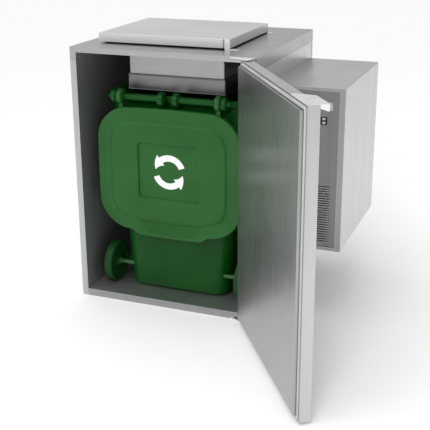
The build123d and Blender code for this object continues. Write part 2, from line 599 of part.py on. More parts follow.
with BuildPart() as controller_housing:
    block(CONTROL_X, (BEZEL_FRONT, PANEL_Y[0]), CONTROL_Z)
    body_y = (PANEL_Y[0], BEZEL_FRONT + CONTROL_DEEP)
    block(inset(CONTROL_X, CONTROL_BODY), body_y, inset(CONTROL_Z, CONTROL_BODY))
    block(DISPLAY_X, DISPLAY_Y, DISPLAY_Z, Mode.SUBTRACT)
    for z in BUTTON_Z.values():
        block(
            (BUTTON_X - BUTTON[0] / 2 - GAP, BUTTON_X + BUTTON[0] / 2 + GAP),
            (BEZEL_FRONT, POCKET),
            (z - BUTTON[1] / 2 - GAP, z + BUTTON[1] / 2 + GAP),
            Mode.SUBTRACT,
        )
controller_housing.part.label = "controller_housing"
export_step(controller_housing.part, "parts/controller_housing.step")

with BuildPart() as controller_display:
    block(DISPLAY_X, DISPLAY_Y, DISPLAY_Z)
controller_display.part.label = "controller_display"
export_step(controller_display.part, "parts/controller_display.step")

for button_name, z in BUTTON_Z.items():
    with BuildPart() as button:
        block(
            (BUTTON_X - BUTTON[0] / 2, BUTTON_X + BUTTON[0] / 2),
            (BEZEL_FRONT - BUTTON_PROUD, POCKET - TRAVEL - GAP),
            (z - BUTTON[1] / 2, z + BUTTON[1] / 2),
        )
        fillet(button.faces().sort_by(Axis.Y)[0].edges(), BUTTON_EDGE_R)
    button.part.label = button_name
    export_step(button.part, f"parts/{button_name}.step")

LABEL_X = (UNIT_X[0] + 235.0, UNIT_X[0] + 285.0)
LABEL_Z = (968.0, 1001.0)
LABEL_CORNER, LABEL_THICK = 3.0, 1.0
with BuildPart() as blank_name_plate:
    with BuildSketch(Plane.XZ.offset(-PANEL_Y[0])):
        with Locations(((LABEL_X[0] + LABEL_X[1]) / 2, (LABEL_Z[0] + LABEL_Z[1]) / 2)):
            RectangleRounded(LABEL_X[1] - LABEL_X[0], LABEL_Z[1] - LABEL_Z[0], LABEL_CORNER)
    extrude(amount=LABEL_THICK)
blank_name_plate.part.label = "blank_name_plate"
export_step(blank_name_plate.part, "parts/blank_name_plate.step")

# ---- inside the cooling unit ----
UNIT_MID = (UNIT_X[0] + UNIT_X[1]) / 2
TRAY_Z = INNER_Z[0]

COMPRESSOR_Y = 220.0
COMPRESSOR_R = 80.0
COMPRESSOR_LOW, COMPRESSOR_TOP = TRAY_Z + 22.0, TRAY_Z + 172.0
COMPRESSOR_DOME = 30.0
FOOT_BAR_HALF, FOOT_BAR_DEEP = 95.0, 15.0
RUBBER_FOOT_R, RUBBER_FOOT, RUBBER_FOOT_X = 10.0, 18.0, 80.0
TERMINAL_HALF = 30.0
TERMINAL_Z = (TRAY_Z + 60.0, TRAY_Z + 120.0)
TERMINAL_Y = (COMPRESSOR_Y - COMPRESSOR_R - 10.0, COMPRESSOR_Y - COMPRESSOR_R + 10.0)


def about(middle, half):
    """A span centred on a value."""
    return (middle - half, middle + half)


with BuildPart() as compressor:
    shell_foot = (UNIT_MID, COMPRESSOR_Y, COMPRESSOR_LOW)
    rod(shell_foot, (0, 0, 1), COMPRESSOR_R, COMPRESSOR_TOP - COMPRESSOR_LOW)
    fillet(compressor.edges().filter_by(GeomType.CIRCLE), COMPRESSOR_DOME)
    block(
        about(UNIT_MID, FOOT_BAR_HALF),
        about(COMPRESSOR_Y, FOOT_BAR_DEEP),
        (TRAY_Z + RUBBER_FOOT, COMPRESSOR_LOW + 2.0),
    )
    for x in about(UNIT_MID, RUBBER_FOOT_X):
        rod((x, COMPRESSOR_Y, TRAY_Z), (0, 0, 1), RUBBER_FOOT_R, RUBBER_FOOT)
    block(about(UNIT_MID, TERMINAL_HALF), TERMINAL_Y, TERMINAL_Z)
compressor.part.label = "compressor"
export_step(compressor.part, "parts/compressor.step")

COIL_X = inset(UNIT_X, 40.0)
COIL_Y = (-262.0, -212.0)
COIL_Z = (TRAY_Z, 660.0)
FINS, FIN = 13, 2.0
COIL_TUBE_R = 5.0
TUBE_ROWS = 6


def finned_coil(x, y, z, fins, fin, tube):
    """Upright plates evenly spaced along X, on tubes that run through them, on two end bars."""
    step = (x[1] - x[0] - fin) / (fins - 1)
    for count in range(fins):
        block((x[0] + count * step, x[0] + count * step + fin), y, z)
    for row in range(TUBE_ROWS):
        height = z[0] + (row + 0.5) * (z[1] - z[0]) / TUBE_ROWS
        rod((x[0], (y[0] + y[1]) / 2, height), (1, 0, 0), tube, x[1] - x[0])


with BuildPart() as condenser_coil:
    finned_coil(COIL_X, COIL_Y, COIL_Z, FINS, FIN, COIL_TUBE_R)
condenser_coil.part.label = "condenser_coil"
export_step(condenser_coil.part, "parts/condenser_coil.step")

FAN_Z = 500.0
FAN_R = 105.0
SHROUD_Y = (COIL_Y[1], COIL_Y[1] + 30.0)
SHROUD_WALL, SHROUD_FACE = 4.0, 3.0
SHROUD_MOUTH_R = FAN_R + 6.0

with BuildPart() as condenser_fan_shroud:
    block(COIL_X, SHROUD_Y, COIL_Z)
    hollow = (inset(COIL_X, SHROUD_WALL), (SHROUD_Y[0], SHROUD_Y[1] - SHROUD_FACE))
    block(*hollow, inset(COIL_Z, SHROUD_WALL), Mode.SUBTRACT)
    mouth = (UNIT_MID, SHROUD_Y[0], FAN_Z)
    rod(mouth, (0, 1, 0), SHROUD_MOUTH_R, SHROUD_Y[1] - SHROUD_Y[0], Mode.SUBTRACT)
condenser_fan_shroud.part.label = "condenser_fan_shroud"
export_step(condenser_fan_shroud.part, "parts/condenser_fan_shroud.step")


def fan_blades(centre, axis, hub, reach, blades, chord):
    """A hub on an axis with flat blades set at a pitch around it."""
    face = Plane(origin=centre, z_dir=axis)
    rod(centre, axis, hub, chord)
    with Locations(face.location):
        with PolarLocations(0, blades):
            with Locations(Location(((hub + reach) / 2, 0, chord / 2), (BLADE_PITCH, 0, 0))):
                Box(reach - hub + 2 * BLADE_ROOT, chord * BLADE_WIDE, BLADE_THICK)
    rod(centre, axis, FAN_SHAFT_R + BORE_GAP, chord, Mode.SUBTRACT)


FAN_SHAFT_R = 3.0
BLADE_PITCH = 28.0
BLADE_ROOT = 2.0  # how far a blade runs into its hub
BLADE_WIDE = 1.6  # a blade's width, in hub lengths
BLADE_THICK = 2.0
BLADES = 5
CONDENSER_HUB_R = 20.0
BLADE_TIP_GAP = 4.0
BLADE_Y = SHROUD_Y[1] - 24.0
BLADE_CHORD = 18.0

with BuildPart() as condenser_fan_blade:
    hub_front = (UNIT_MID, BLADE_Y, FAN_Z)
    fan_blades(hub_front, (0, 1, 0), CONDENSER_HUB_R, FAN_R - BLADE_TIP_GAP, BLADES, BLADE_CHORD)
condenser_fan_blade.part.label = "condenser_fan_blade"
export_step(condenser_fan_blade.part, "parts/condenser_fan_blade.step")

MOTOR_Y = SHROUD_Y[1] + 4.0
MOTOR_R, MOTOR_LONG = 36.0, 60.0
MOTOR_POST = 6.0
SHAFT_START = BLADE_Y + 2.0
with BuildPart() as condenser_fan_motor:
    rod((UNIT_MID, MOTOR_Y, FAN_Z), (0, 1, 0), MOTOR_R, MOTOR_LONG)
    rod((UNIT_MID, SHAFT_START, FAN_Z), (0, 1, 0), FAN_SHAFT_R, MOTOR_Y - SHAFT_START)
    block(about(UNIT_MID, MOTOR_POST), (MOTOR_Y + 20.0, MOTOR_Y + 40.0), (TRAY_Z, FAN_Z))
condenser_fan_motor.part.label = "condenser_fan_motor"
export_step(condenser_fan_motor.part, "parts/condenser_fan_motor.step")

INLET_X, INLET_Z = UNIT_X[0] + 167.0, 375.0
INLET_HALF = (17.0, 15.0)
INLET_PROUD, INLET_FLOOR = 6.0, 2.0
SOCKET_HALF = (12.0, 9.0)
PIN_PITCH, PIN_HALF, PIN_HIGH, PIN_PROUD = 7.0, 1.0, 3.0, 3.0
with BuildPart() as power_inlet:
    face = UNIT_Y[1]
    block(about(INLET_X, INLET_HALF[0]), (face, face + INLET_PROUD), about(INLET_Z, INLET_HALF[1]))
    floor = face + INLET_FLOOR
    socket = (about(INLET_X, SOCKET_HALF[0]), (floor, face + INLET_PROUD))
    block(*socket, about(INLET_Z, SOCKET_HALF[1]), Mode.SUBTRACT)
    for x in (INLET_X - PIN_PITCH, INLET_X, INLET_X + PIN_PITCH):
        block(about(x, PIN_HALF), (floor, floor + PIN_PROUD), about(INLET_Z, PIN_HIGH))
power_inlet.part.label = "power_inlet"
export_step(power_inlet.part, "parts/power_inlet.step")

# ---- evaporator in the cabinet's upper right corner, with its fan ----
EVAP_X = (262.0, 402.0)
EVAP_Y = (40.0, 380.0)
EVAP_Z = (1010.0, CEILING_Z)
EVAP_FAN_R = 55.0
EVAP_MID_X, EVAP_MID_Z = (EVAP_X[0] + EVAP_X[1]) / 2, 1092.0
EVAP_FAN_CENTRE = (EVAP_MID_X, EVAP_Y[0] + 10.0, EVAP_MID_Z)
EVAP_OUTLET = 25.0  # the outlet's set-in from the housing's edges
EVAP_COIL_X = (EVAP_X[0] + 8.0, EVAP_X[1] - 28.0)
EVAP_COIL_Y = (180.0, 340.0)
EVAP_FINS, EVAP_TUBE_R = 9, 4.0
EVAP_HUB_R, EVAP_CHORD = 14.0, 14.0
EVAP_MOTOR_Y, EVAP_MOTOR_R, EVAP_MOTOR_LONG = 68.0, 24.0, 40.0
EVAP_HANGER = 8.0

with BuildPart() as evaporator_housing:
    block(EVAP_X, EVAP_Y, EVAP_Z)
    block(inset(EVAP_X, SHEET), inset(EVAP_Y, SHEET), inset(EVAP_Z, SHEET), Mode.SUBTRACT)
    rod((EVAP_MID_X, EVAP_Y[0], EVAP_MID_Z), (0, 1, 0), EVAP_FAN_R + 4.0, SHEET, Mode.SUBTRACT)
    outlet = (inset(EVAP_X, EVAP_OUTLET), (EVAP_Y[1] - SHEET, EVAP_Y[1]))
    block(*outlet, inset(EVAP_Z, EVAP_OUTLET), Mode.SUBTRACT)
    pipe_hole = (EVAP_X[1] - SHEET, PIPE_HOLE_Y, PIPE_HOLE_Z)
    rod(pipe_hole, (1, 0, 0), PIPE_HOLE_R, SHEET, Mode.SUBTRACT)
evaporator_housing.part.label = "evaporator_housing"
export_step(evaporator_housing.part, "parts/evaporator_housing.step")

with BuildPart() as evaporator_coil:
    finned_coil(EVAP_COIL_X, EVAP_COIL_Y, inset(EVAP_Z, SHEET), EVAP_FINS, FIN, EVAP_TUBE_R)
evaporator_coil.part.label = "evaporator_coil"
export_step(evaporator_coil.part, "parts/evaporator_coil.step")

with BuildPart() as evaporator_fan_blade:
    fan_blades(EVAP_FAN_CENTRE, (0, 1, 0), EVAP_HUB_R, EVAP_FAN_R - 3.0, BLADES, EVAP_CHORD)
evaporator_fan_blade.part.label = "evaporator_fan_blade"
export_step(evaporator_fan_blade.part, "parts/evaporator_fan_blade.step")

with BuildPart() as evaporator_fan_motor:
    rod((EVAP_MID_X, EVAP_MOTOR_Y, EVAP_MID_Z), (0, 1, 0), EVAP_MOTOR_R, EVAP_MOTOR_LONG)
    shaft_y = EVAP_FAN_CENTRE[1] + 2.0
    rod((EVAP_MID_X, shaft_y, EVAP_MID_Z), (0, 1, 0), FAN_SHAFT_R, EVAP_MOTOR_Y - shaft_y)
    hanger_y = about(EVAP_MOTOR_Y + EVAP_MOTOR_LONG / 2, EVAP_HANGER)
    block(about(EVAP_MID_X, EVAP_HANGER), hanger_y, (EVAP_MID_Z, EVAP_Z[1] - SHEET))
evaporator_fan_motor.part.label = "evaporator_fan_motor"
export_step(evaporator_fan_motor.part, "parts/evaporator_fan_motor.step")

# Two copper pipes run from the coil through the right wall and down to the compressor.
PIPES = (
    # radius, height through the wall, where it drops
    (5.0, PIPE_HOLE_Z + 9.0, UNIT_MID + 40.0),
    (3.5, PIPE_HOLE_Z - 9.0, UNIT_MID - 40.0),
)
PIPE_LEVEL = TRAY_Z + 250.0
PIPE_END_Y = COMPRESSOR_Y + 20.0
PIPE_BEND_R = 20.0
with BuildPart() as refrigerant_pipes:
    for radius, height, end_x in PIPES:
        with BuildLine() as route:
            FilletPolyline(
                (EVAP_COIL_X[1], PIPE_HOLE_Y, height),
                (end_x, PIPE_HOLE_Y, height),
                (end_x, PIPE_HOLE_Y, PIPE_LEVEL),
                (end_x, PIPE_END_Y, PIPE_LEVEL),
                (end_x, PIPE_END_Y, COMPRESSOR_TOP),
                radius=PIPE_BEND_R,
            )
        with BuildSketch(Plane(origin=route.line @ 0, z_dir=route.line % 0)) as section:
            Circle(radius)
        sweep(sections=section.sketch, path=route.line)
refrigerant_pipes.part.label = "refrigerant_pipes"
export_step(refrigerant_pipes.part, "parts/refrigerant_pipes.step")

GROMMET_NOSE, GROMMET_NOSE_R = 4.0, PIPE_HOLE_R - 3.0
with BuildPart() as wall_grommet:
    rod((IN_RIGHT, PIPE_HOLE_Y, PIPE_HOLE_Z), (1, 0, 0), PIPE_HOLE_R, WALL)
    nose = IN_RIGHT - GROMMET_NOSE
    rod((nose, PIPE_HOLE_Y, PIPE_HOLE_Z), (1, 0, 0), GROMMET_NOSE_R, GROMMET_NOSE)
    for radius, height, end_x in PIPES:
        rod((nose, PIPE_HOLE_Y, height), (1, 0, 0), radius, WALL + GROMMET_NOSE, Mode.SUBTRACT)
wall_grommet.part.label = "wall_grommet"
export_step(wall_grommet.part, "parts/wall_grommet.step")

# ---- bin: a tapered tub on two wheels, with handle rods at the top of its wheel side ----
BASE_Z = FLOOR + GAP + 0.6
BASE_X, BASE_Y = 490.0, (-300.0, 180.0)
NECK_X, NECK_Y = 660.0, (-292.0, 300.0)
BASE_CORNER, NECK_CORNER = 60.0, 75.0
RIM_PROUD = 15.0
TUNNEL_WALL = 4.0
AXLE_GAP = 0.1  # between the axle and its tunnel


def tub_section(z, width, y, corner):
    """One level of the tub: a rectangle with rounded corners."""
    with BuildSketch(Plane.XY.offset(z)) as level:
        with Locations((0, (y[0] + y[1]) / 2)):
            RectangleRounded(width, y[1] - y[0], corner)
    return level.sketch


TUNNEL_R = AXLE_R + TUNNEL_WALL
BOSS_X = ((-51.0, -21.0), (21.0, 51.0), (-277.0, -252.0), (252.0, 277.0))
BOSS_R = 32.0


def tub_levels(wall, low):
    """The tub's lowest and highest level, both set in by a wall."""
    return [
        tub_section(low, BASE_X - 2 * wall, inset(BASE_Y, wall), BASE_CORNER - wall),
        tub_section(RIM_HIGH, NECK_X - 2 * wall, inset(NECK_Y, wall), NECK_CORNER - wall),
    ]


rim_x, rim_y = NECK_X + 2 * RIM_PROUD, inset(NECK_Y, -RIM_PROUD)
tunnel_x = inset((-BASE_X / 2, BASE_X / 2), BIN_WALL - 1.0)
with BuildPart() as bin_body:
    loft(sections=tub_levels(0.0, BASE_Z))
    band = tub_section(RIM_LOW, rim_x, rim_y, NECK_CORNER + RIM_PROUD)
    extrude(band, amount=RIM_HIGH - RIM_LOW)
    loft(sections=tub_levels(BIN_WALL, BASE_Z + BIN_WALL), mode=Mode.SUBTRACT)
    # axle tunnel across the foot
    rod((tunnel_x[0], AXLE_Y, AXLE_Z), (1, 0, 0), TUNNEL_R, tunnel_x[1] - tunnel_x[0])
    rod((-BASE_X, AXLE_Y, AXLE_Z), (1, 0, 0), AXLE_R + AXLE_GAP, 2 * BASE_X, Mode.SUBTRACT)
    # ears that carry the handle rods
    for x in BOSS_X:
        rod((x[0], BAR_Y, BAR_Z), (1, 0, 0), BOSS_R, x[1] - x[0])
        block(x, (BAR_Y, NECK_Y[0] - 2.0), (RIM_LOW, RIM_HIGH))
    rod((-BASE_X, BAR_Y, BAR_Z), (1, 0, 0), BAR_R, 2 * BASE_X, Mode.SUBTRACT)
bin_body.part.label = "bin_body"
export_step(bin_body.part, "parts/bin_body.step")

BAR_IN, BAR_END = BOSS_X[3][0] - 231.0, BOSS_X[3][1] + 8.0
TIP_R, TIP_END = BAR_R - 3.0, BOSS_X[3][1] + 18.0
with BuildPart() as bin_handle_rods:
    for side in (-1, 1):
        rod((side * BAR_IN, BAR_Y, BAR_Z), (side, 0, 0), BAR_R, BAR_END - BAR_IN)
        rod((side * BAR_END, BAR_Y, BAR_Z), (side, 0, 0), TIP_R, TIP_END - BAR_END)
bin_handle_rods.part.label = "bin_handle_rods"
export_step(bin_handle_rods.part, "parts/bin_handle_rods.step")

CAP_R, CAP_LONG = 18.0, 6.0
SPACER_R, SPACER_LONG = 16.0, 10.0
with BuildPart() as bin_axle:
    reach = WHEEL_IN + WHEEL_WIDE + GAP
    rod((-reach, AXLE_Y, AXLE_Z), (1, 0, 0), AXLE_R, 2 * reach)
    for side in (-1, 1):
        rod((side * reach, AXLE_Y, AXLE_Z), (side, 0, 0), CAP_R, CAP_LONG)
        rod((side * (WHEEL_IN - GAP), AXLE_Y, AXLE_Z), (-side, 0, 0), SPACER_R, SPACER_LONG)
bin_axle.part.label = "bin_axle"
export_step(bin_axle.part, "parts/bin_axle.step")

# Half of a wheel's section: how deep it lies in from its face, and its radius.
BORE_R = AXLE_R + 0.08
DISH = 12.0  # depth of the web behind the rim and the hub
WHEEL_HALF = (
    (0.0, BORE_R),
    (0.0, 26.0),
    (DISH, 30.0),
    (DISH, WHEEL_R - 26.0),
    (2.0, WHEEL_R - 20.0),
    (0.0, WHEEL_R - 6.0),
    (6.0, WHEEL_R),
)

for wheel_name, start in (
    ("bin_wheel_left", -WHEEL_IN - WHEEL_WIDE),
    ("bin_wheel_right", WHEEL_IN),
):
    hub_end = (start, AXLE_Y, AXLE_Z)
    with BuildPart() as wheel:
        with BuildSketch(Plane(origin=hub_end, x_dir=(1, 0, 0), z_dir=(0, -1, 0))):
            with BuildLine():
                far_half = [(WHEEL_WIDE - deep, radius) for deep, radius in reversed(WHEEL_HALF)]
                Polyline(*WHEEL_HALF, *far_half, close=True)
            make_face()
        revolve(axis=Axis(hub_end, (1, 0, 0)))
    wheel.part.label = wheel_name
    export_step(wheel.part, f"parts/{wheel_name}.step")

# ---- bin lid: hangs open in front of the tub, a crowned tray with a grip at its lower edge ----
LID_CORNER = 110.0
LID_SKIN = 4.0
HUB_X = (222.0, 250.0)
HUB_R = 38.0
HUB_GAP = 0.08  # between a hub and its handle rod
GRIP_X = 170.0
GRIP_LOW, GRIP_HIGH = 322.0, BIN_LID_Z[0] + 80.0
GRIP_CORNER = 40.0
ARM_Y = (-352.0, -338.0)
ARM_FOOT, ARM_ROOT = 60.0, 6.0  # how far an arm reaches down inside the lid's upper edge

with BuildPart() as bin_lid:
    middle = (BIN_LID_Z[0] + BIN_LID_Z[1]) / 2
    tall = BIN_LID_Z[1] - BIN_LID_Z[0]
    outer, inner = (BIN_LID_Y[0], 0, Mode.ADD), (BIN_LID_Y[0] + LID_SKIN, LID_SKIN, Mode.SUBTRACT)
    for y, drop, way in (outer, inner):
        with BuildSketch(Plane.XZ.offset(-BIN_LID_Y[1])):
            with Locations((0, middle)):
                RectangleRounded(2 * (BIN_LID_HALF - drop), tall - 2 * drop, LID_CORNER - drop)
            if way == Mode.ADD:
                with Locations((0, (GRIP_LOW + GRIP_HIGH) / 2)):
                    RectangleRounded(2 * GRIP_X, GRIP_HIGH - GRIP_LOW, GRIP_CORNER)
        extrude(amount=BIN_LID_Y[1] - y, mode=way)
    for side in (-1, 1):
        x = sorted((side * HUB_X[0], side * HUB_X[1]))
        arm_low = BIN_LID_Z[1] - ARM_FOOT
        rod((x[0], BAR_Y, BAR_Z), (1, 0, 0), HUB_R, x[1] - x[0])
        block(x, ARM_Y, (arm_low, BAR_Z))
        block(x, (BIN_LID_Y[0] + 2.0, ARM_Y[1]), (arm_low, BIN_LID_Z[1] - ARM_ROOT))
        rod((x[0], BAR_Y, BAR_Z), (1, 0, 0), BAR_R + HUB_GAP, x[1] - x[0], Mode.SUBTRACT)
bin_lid.part.label = "bin_lid"
export_step(bin_lid.part, "parts/bin_lid.step")

# ---- screws: one pattern of pan heads on the unit panel, its rail and the hinge feet ----
SCREW_R = 4.0
SCREW_HIGH = 2.0
SCREW_IN_X, SCREW_IN_Z = 10.0, 12.0  # from the panel's edges

with BuildPart() as pan_head_screws:
    screw_low, screw_high = inset(PANEL_Z, SCREW_IN_Z)
    for x in inset(PANEL_X, SCREW_IN_X):
        for z in (screw_low, (screw_low + screw_high) / 2, screw_high):
            rod((x, PANEL_Y[0], z), (0, -1, 0), SCREW_R, SCREW_HIGH)
    for end, way in ((LID_Y[0], 1), (LID_Y[1], -1)):
        y = end + way * (EAR_SET + FOOT_WIDE / 2)
        rod((FOOT_X[1], y, HEIGHT + FOOT_THICK), (0, 0, 1), SCREW_R, SCREW_HIGH)
pan_head_screws.part.label = "pan_head_screws"
export_step(pan_head_screws.part, "parts/pan_head_screws.step")
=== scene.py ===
"""Refrigerated waste-bin cabinet: the finished look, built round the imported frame, in metres."""

import json
from math import pi, radians

import bmesh
import bpy
import numpy as np
from mathutils import Matrix, Vector


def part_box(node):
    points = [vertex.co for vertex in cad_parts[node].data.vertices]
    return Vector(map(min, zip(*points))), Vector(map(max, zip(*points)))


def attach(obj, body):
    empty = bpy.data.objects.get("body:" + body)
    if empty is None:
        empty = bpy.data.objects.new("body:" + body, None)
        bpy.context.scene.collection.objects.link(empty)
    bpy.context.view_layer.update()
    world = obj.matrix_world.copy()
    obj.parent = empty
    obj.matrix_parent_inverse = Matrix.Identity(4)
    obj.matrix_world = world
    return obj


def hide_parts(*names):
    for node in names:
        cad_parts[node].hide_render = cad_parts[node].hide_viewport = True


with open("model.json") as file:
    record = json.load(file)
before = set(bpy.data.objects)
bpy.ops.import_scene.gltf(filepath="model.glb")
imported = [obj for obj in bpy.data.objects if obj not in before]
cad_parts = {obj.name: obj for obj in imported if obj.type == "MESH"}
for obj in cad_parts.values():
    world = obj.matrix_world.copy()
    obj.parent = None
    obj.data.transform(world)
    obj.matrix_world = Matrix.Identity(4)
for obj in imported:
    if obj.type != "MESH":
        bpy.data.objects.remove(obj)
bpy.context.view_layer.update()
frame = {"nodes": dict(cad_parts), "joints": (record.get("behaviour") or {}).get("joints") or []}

MM = 0.001


# ---- Cabinet shell -------------------------------------------------------------------------
# Folded pans of 1.5 mm brushed stainless sheet, foamed to a liner of the same sheet.
# Each edge is a press-brake bend of about 1 mm, so every sheet here has its edges rounded.
def brushed_grain_group():
    """Noise stretched along the grain: fine streaks, broad bands and low clouds, with a bump."""
    group = bpy.data.node_groups.new("brushed_grain", "ShaderNodeTree")
    face = group.interface
    face.new_socket("Vector", in_out="INPUT", socket_type="NodeSocketVector")
    face.new_socket("Stretch", in_out="INPUT", socket_type="NodeSocketVector")
    face.new_socket("Depth", in_out="INPUT", socket_type="NodeSocketFloat")
    for name in ("Streak", "Band", "Cloud"):
        face.new_socket(name, in_out="OUTPUT", socket_type="NodeSocketFloat")
    face.new_socket("Normal", in_out="OUTPUT", socket_type="NodeSocketVector")
    nodes, links = group.nodes, group.links
    start, end = nodes.new("NodeGroupInput"), nodes.new("NodeGroupOutput")
    for output, fineness, detail in (("Streak", 1.0, 5.0), ("Band", 0.035, 3.0)):
        stretched = nodes.new("ShaderNodeVectorMath")
        stretched.operation = "MULTIPLY"
        links.new(start.outputs["Vector"], stretched.inputs[0])
        links.new(start.outputs["Stretch"], stretched.inputs[1])
        noise = nodes.new("ShaderNodeTexNoise")
        noise.inputs["Scale"].default_value = fineness
        noise.inputs["Detail"].default_value = detail
        links.new(stretched.outputs[0], noise.inputs["Vector"])
        links.new(noise.outputs["Fac"], end.inputs[output])
        if output == "Streak":
            bump = nodes.new("ShaderNodeBump")
            bump.inputs["Distance"].default_value = 0.0004
            links.new(noise.outputs["Fac"], bump.inputs["Height"])
            links.new(start.outputs["Depth"], bump.inputs["Strength"])
            links.new(bump.outputs["Normal"], end.inputs["Normal"])
    cloud = nodes.new("ShaderNodeTexNoise")
    cloud.inputs["Scale"].default_value = 3.2
    cloud.inputs["Detail"].default_value = 4.0
    links.new(start.outputs["Vector"], cloud.inputs["Vector"])
    links.new(cloud.outputs["Fac"], end.inputs["Cloud"])
    return group


BRUSHED_GRAIN = brushed_grain_group()
UP_GRAIN = (900.0, 900.0, 7.0)  # grain that runs up a wall, as cells to the metre
CROSS_GRAIN = (7.0, 900.0, 900.0)  # grain that runs across, along X


def new_finish(name, metallic):
    """An empty material with its Principled shader: returns the material, its nodes and links."""
    finish = bpy.data.materials.new(name)
    finish.use_nodes = True
    nodes, links = finish.node_tree.nodes, finish.node_tree.links
    shader = nodes["Principled BSDF"]
    shader.inputs["Metallic"].default_value = metallic
    return finish, nodes, links, shader


def between(nodes, links, factor, low, high):
    """A value that runs from low to high as a 0.3 to 0.7 mask does."""
    spread = nodes.new("ShaderNodeMapRange")
    spread.inputs["From Min"].default_value = 0.3
    spread.inputs["From Max"].default_value = 0.7
    spread.inputs["To Min"].default_value = low
    spread.inputs["To Max"].default_value = high
    links.new(factor, spread.inputs["Value"])
    return spread.outputs["Result"]


def blended(nodes, links, factor, low, high):
    """A colour that runs between two as a 0.3 to 0.7 mask does."""
    ramp = nodes.new("ShaderNodeValToRGB")
    ramp.color_ramp.elements[0].position = 0.3
    ramp.color_ramp.elements[0].color = (*low, 1.0)
    ramp.color_ramp.elements[1].position = 0.7
    ramp.color_ramp.elements[1].color = (*high, 1.0)
    links.new(factor, ramp.inputs["Fac"])
    return ramp.outputs["Color"]


def brushed_steel(name, grey, rough, grain=UP_GRAIN, depth=0.25, anisotropic=0.3, band=0.90):
    """Brushed stainless: grey bands and streaks along the grain, with faint handling clouds."""
    finish, nodes, links, shader = new_finish(name, 1.0)
    shader.inputs["Anisotropic"].default_value = anisotropic
    place = nodes.new("ShaderNodeTexCoord")
    brushed = nodes.new("ShaderNodeGroup")
    brushed.node_tree = BRUSHED_GRAIN
    brushed.inputs["Stretch"].default_value = grain
    brushed.inputs["Depth"].default_value = depth
    links.new(place.outputs["Object"], brushed.inputs["Vector"])
    low = (grey * band, grey * (band + 0.005), grey * (band + 0.01))
    high = (grey, grey, grey * 1.005)
    links.new(blended(nodes, links, brushed.outputs["Band"], low, high), shader.inputs["Base Color"])
    mixed = nodes.new("ShaderNodeMath")
    mixed.operation = "ADD"
    streaks = between(nodes, links, brushed.outputs["Streak"], rough - 0.04, rough + 0.05)
    clouds = between(nodes, links, brushed.outputs["Cloud"], -0.015, 0.02)
    links.new(streaks, mixed.inputs[0])
    links.new(clouds, mixed.inputs[1])
    links.new(mixed.outputs[0], shader.inputs["Roughness"])
    links.new(brushed.outputs["Normal"], shader.inputs["Normal"])
    return finish


def with_bent_edges(node, body, finish, bend, angle=35.0):
    """A merged copy of a CAD node's sheet whose sharp edges are bends of the given radius."""
    mesh = bpy.data.meshes.new(f"{node}_sheet")
    shape = bmesh.new()
    shape.from_mesh(frame["nodes"][node].data)
    bmesh.ops.remove_doubles(shape, verts=shape.verts, dist=1e-5)
    bmesh.ops.dissolve_limit(shape, angle_limit=radians(0.1), verts=shape.verts, edges=shape.edges)
    shape.to_mesh(mesh)
    shape.free()
    for spare in ("custom_normal", "sharp_edge", "sharp_face"):
        if spare in mesh.attributes:
            mesh.attributes.remove(mesh.attributes[spare])
    mesh.materials.clear()
    mesh.materials.append(finish)
    mesh.shade_smooth()
    piece = bpy.data.objects.new(f"{node}_bent", mesh)
    bpy.context.scene.collection.objects.link(piece)
    bevel = piece.modifiers.new("bends", "BEVEL")
    bevel.width = bend
    bevel.segments = 2
    bevel.limit_method = "ANGLE"
    bevel.angle_limit = radians(angle)
    bevel.use_clamp_overlap = True
    even = piece.modifiers.new("even_shading", "WEIGHTED_NORMAL")
    even.keep_sharp = True
    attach(piece, body)
    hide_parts(node)
    return piece


def coat(finish, *names):
    """Gives CAD nodes a finish."""
    for name in names:
        mesh = frame["nodes"][name].data
        mesh.materials.clear()
        mesh.materials.append(finish)


outer_steel = brushed_steel("outer_wall_steel", 0.50, 0.36)
for name in ("left_outer_panel", "back_outer_panel"):
    with_bent_edges(name, "cabinet", outer_steel, 1.2 * MM)
# The right wall takes a lighter copy of the outer steel: painted light, standing in for the brighter
# reflection that side shows.
right_wall_painted_light_steel = brushed_steel("right_wall_painted_reflection_steel", 0.66, 0.33)
with_bent_edges("right_outer_panel", "cabinet", right_wall_painted_light_steel, 1.2 * MM)
base_steel = brushed_steel("base_pan_steel", 0.38, 0.40, CROSS_GRAIN)
with_bent_edges("base_pan", "cabinet", base_steel, 1.2 * MM)

liner_steel = brushed_steel("liner_steel", 0.62, 0.50)
floor_steel = brushed_steel("inner_floor_steel", 0.58, 0.52, CROSS_GRAIN)
coat(liner_steel, "left_liner", "right_liner", "back_liner", "roof_liner")
coat(floor_steel, "floor_liner")


# ---- Insulation ----------------------------------------------------------------------------
# Rigid foam poured between pan and liner; it sets as a straw-coloured closed-cell block.
# It is hidden once the sheets are on, and shows only where a panel is taken off.
def foam_cells(name, pale, deep):
    """Foam: cell walls as the distance to the nearest of scattered points, tinted by clouds."""
    finish, nodes, links, shader = new_finish(name, 0.0)
    shader.inputs["Roughness"].default_value = 0.95
    place = nodes.new("ShaderNodeTexCoord")
    cells = nodes.new("ShaderNodeTexVoronoi")
    cells.inputs["Scale"].default_value = 420.0
    links.new(place.outputs["Object"], cells.inputs["Vector"])
    cloud = nodes.new("ShaderNodeTexNoise")
    cloud.inputs["Scale"].default_value = 9.0
    links.new(place.outputs["Object"], cloud.inputs["Vector"])
    links.new(blended(nodes, links, cloud.outputs["Fac"], deep, pale), shader.inputs["Base Color"])
    bump = nodes.new("ShaderNodeBump")
    bump.inputs["Distance"].default_value = 0.0006
    links.new(cells.outputs["Distance"], bump.inputs["Height"])
    links.new(bump.outputs["Normal"], shader.inputs["Normal"])
    return finish


foam = foam_cells("straw_foam", (0.84, 0.75, 0.50), (0.70, 0.58, 0.33))
coat(foam, "left_wall_foam", "right_wall_foam", "back_wall_foam", "floor_foam")
coat(foam, "roof_foam", "door_foam", "feed_lid_foam")


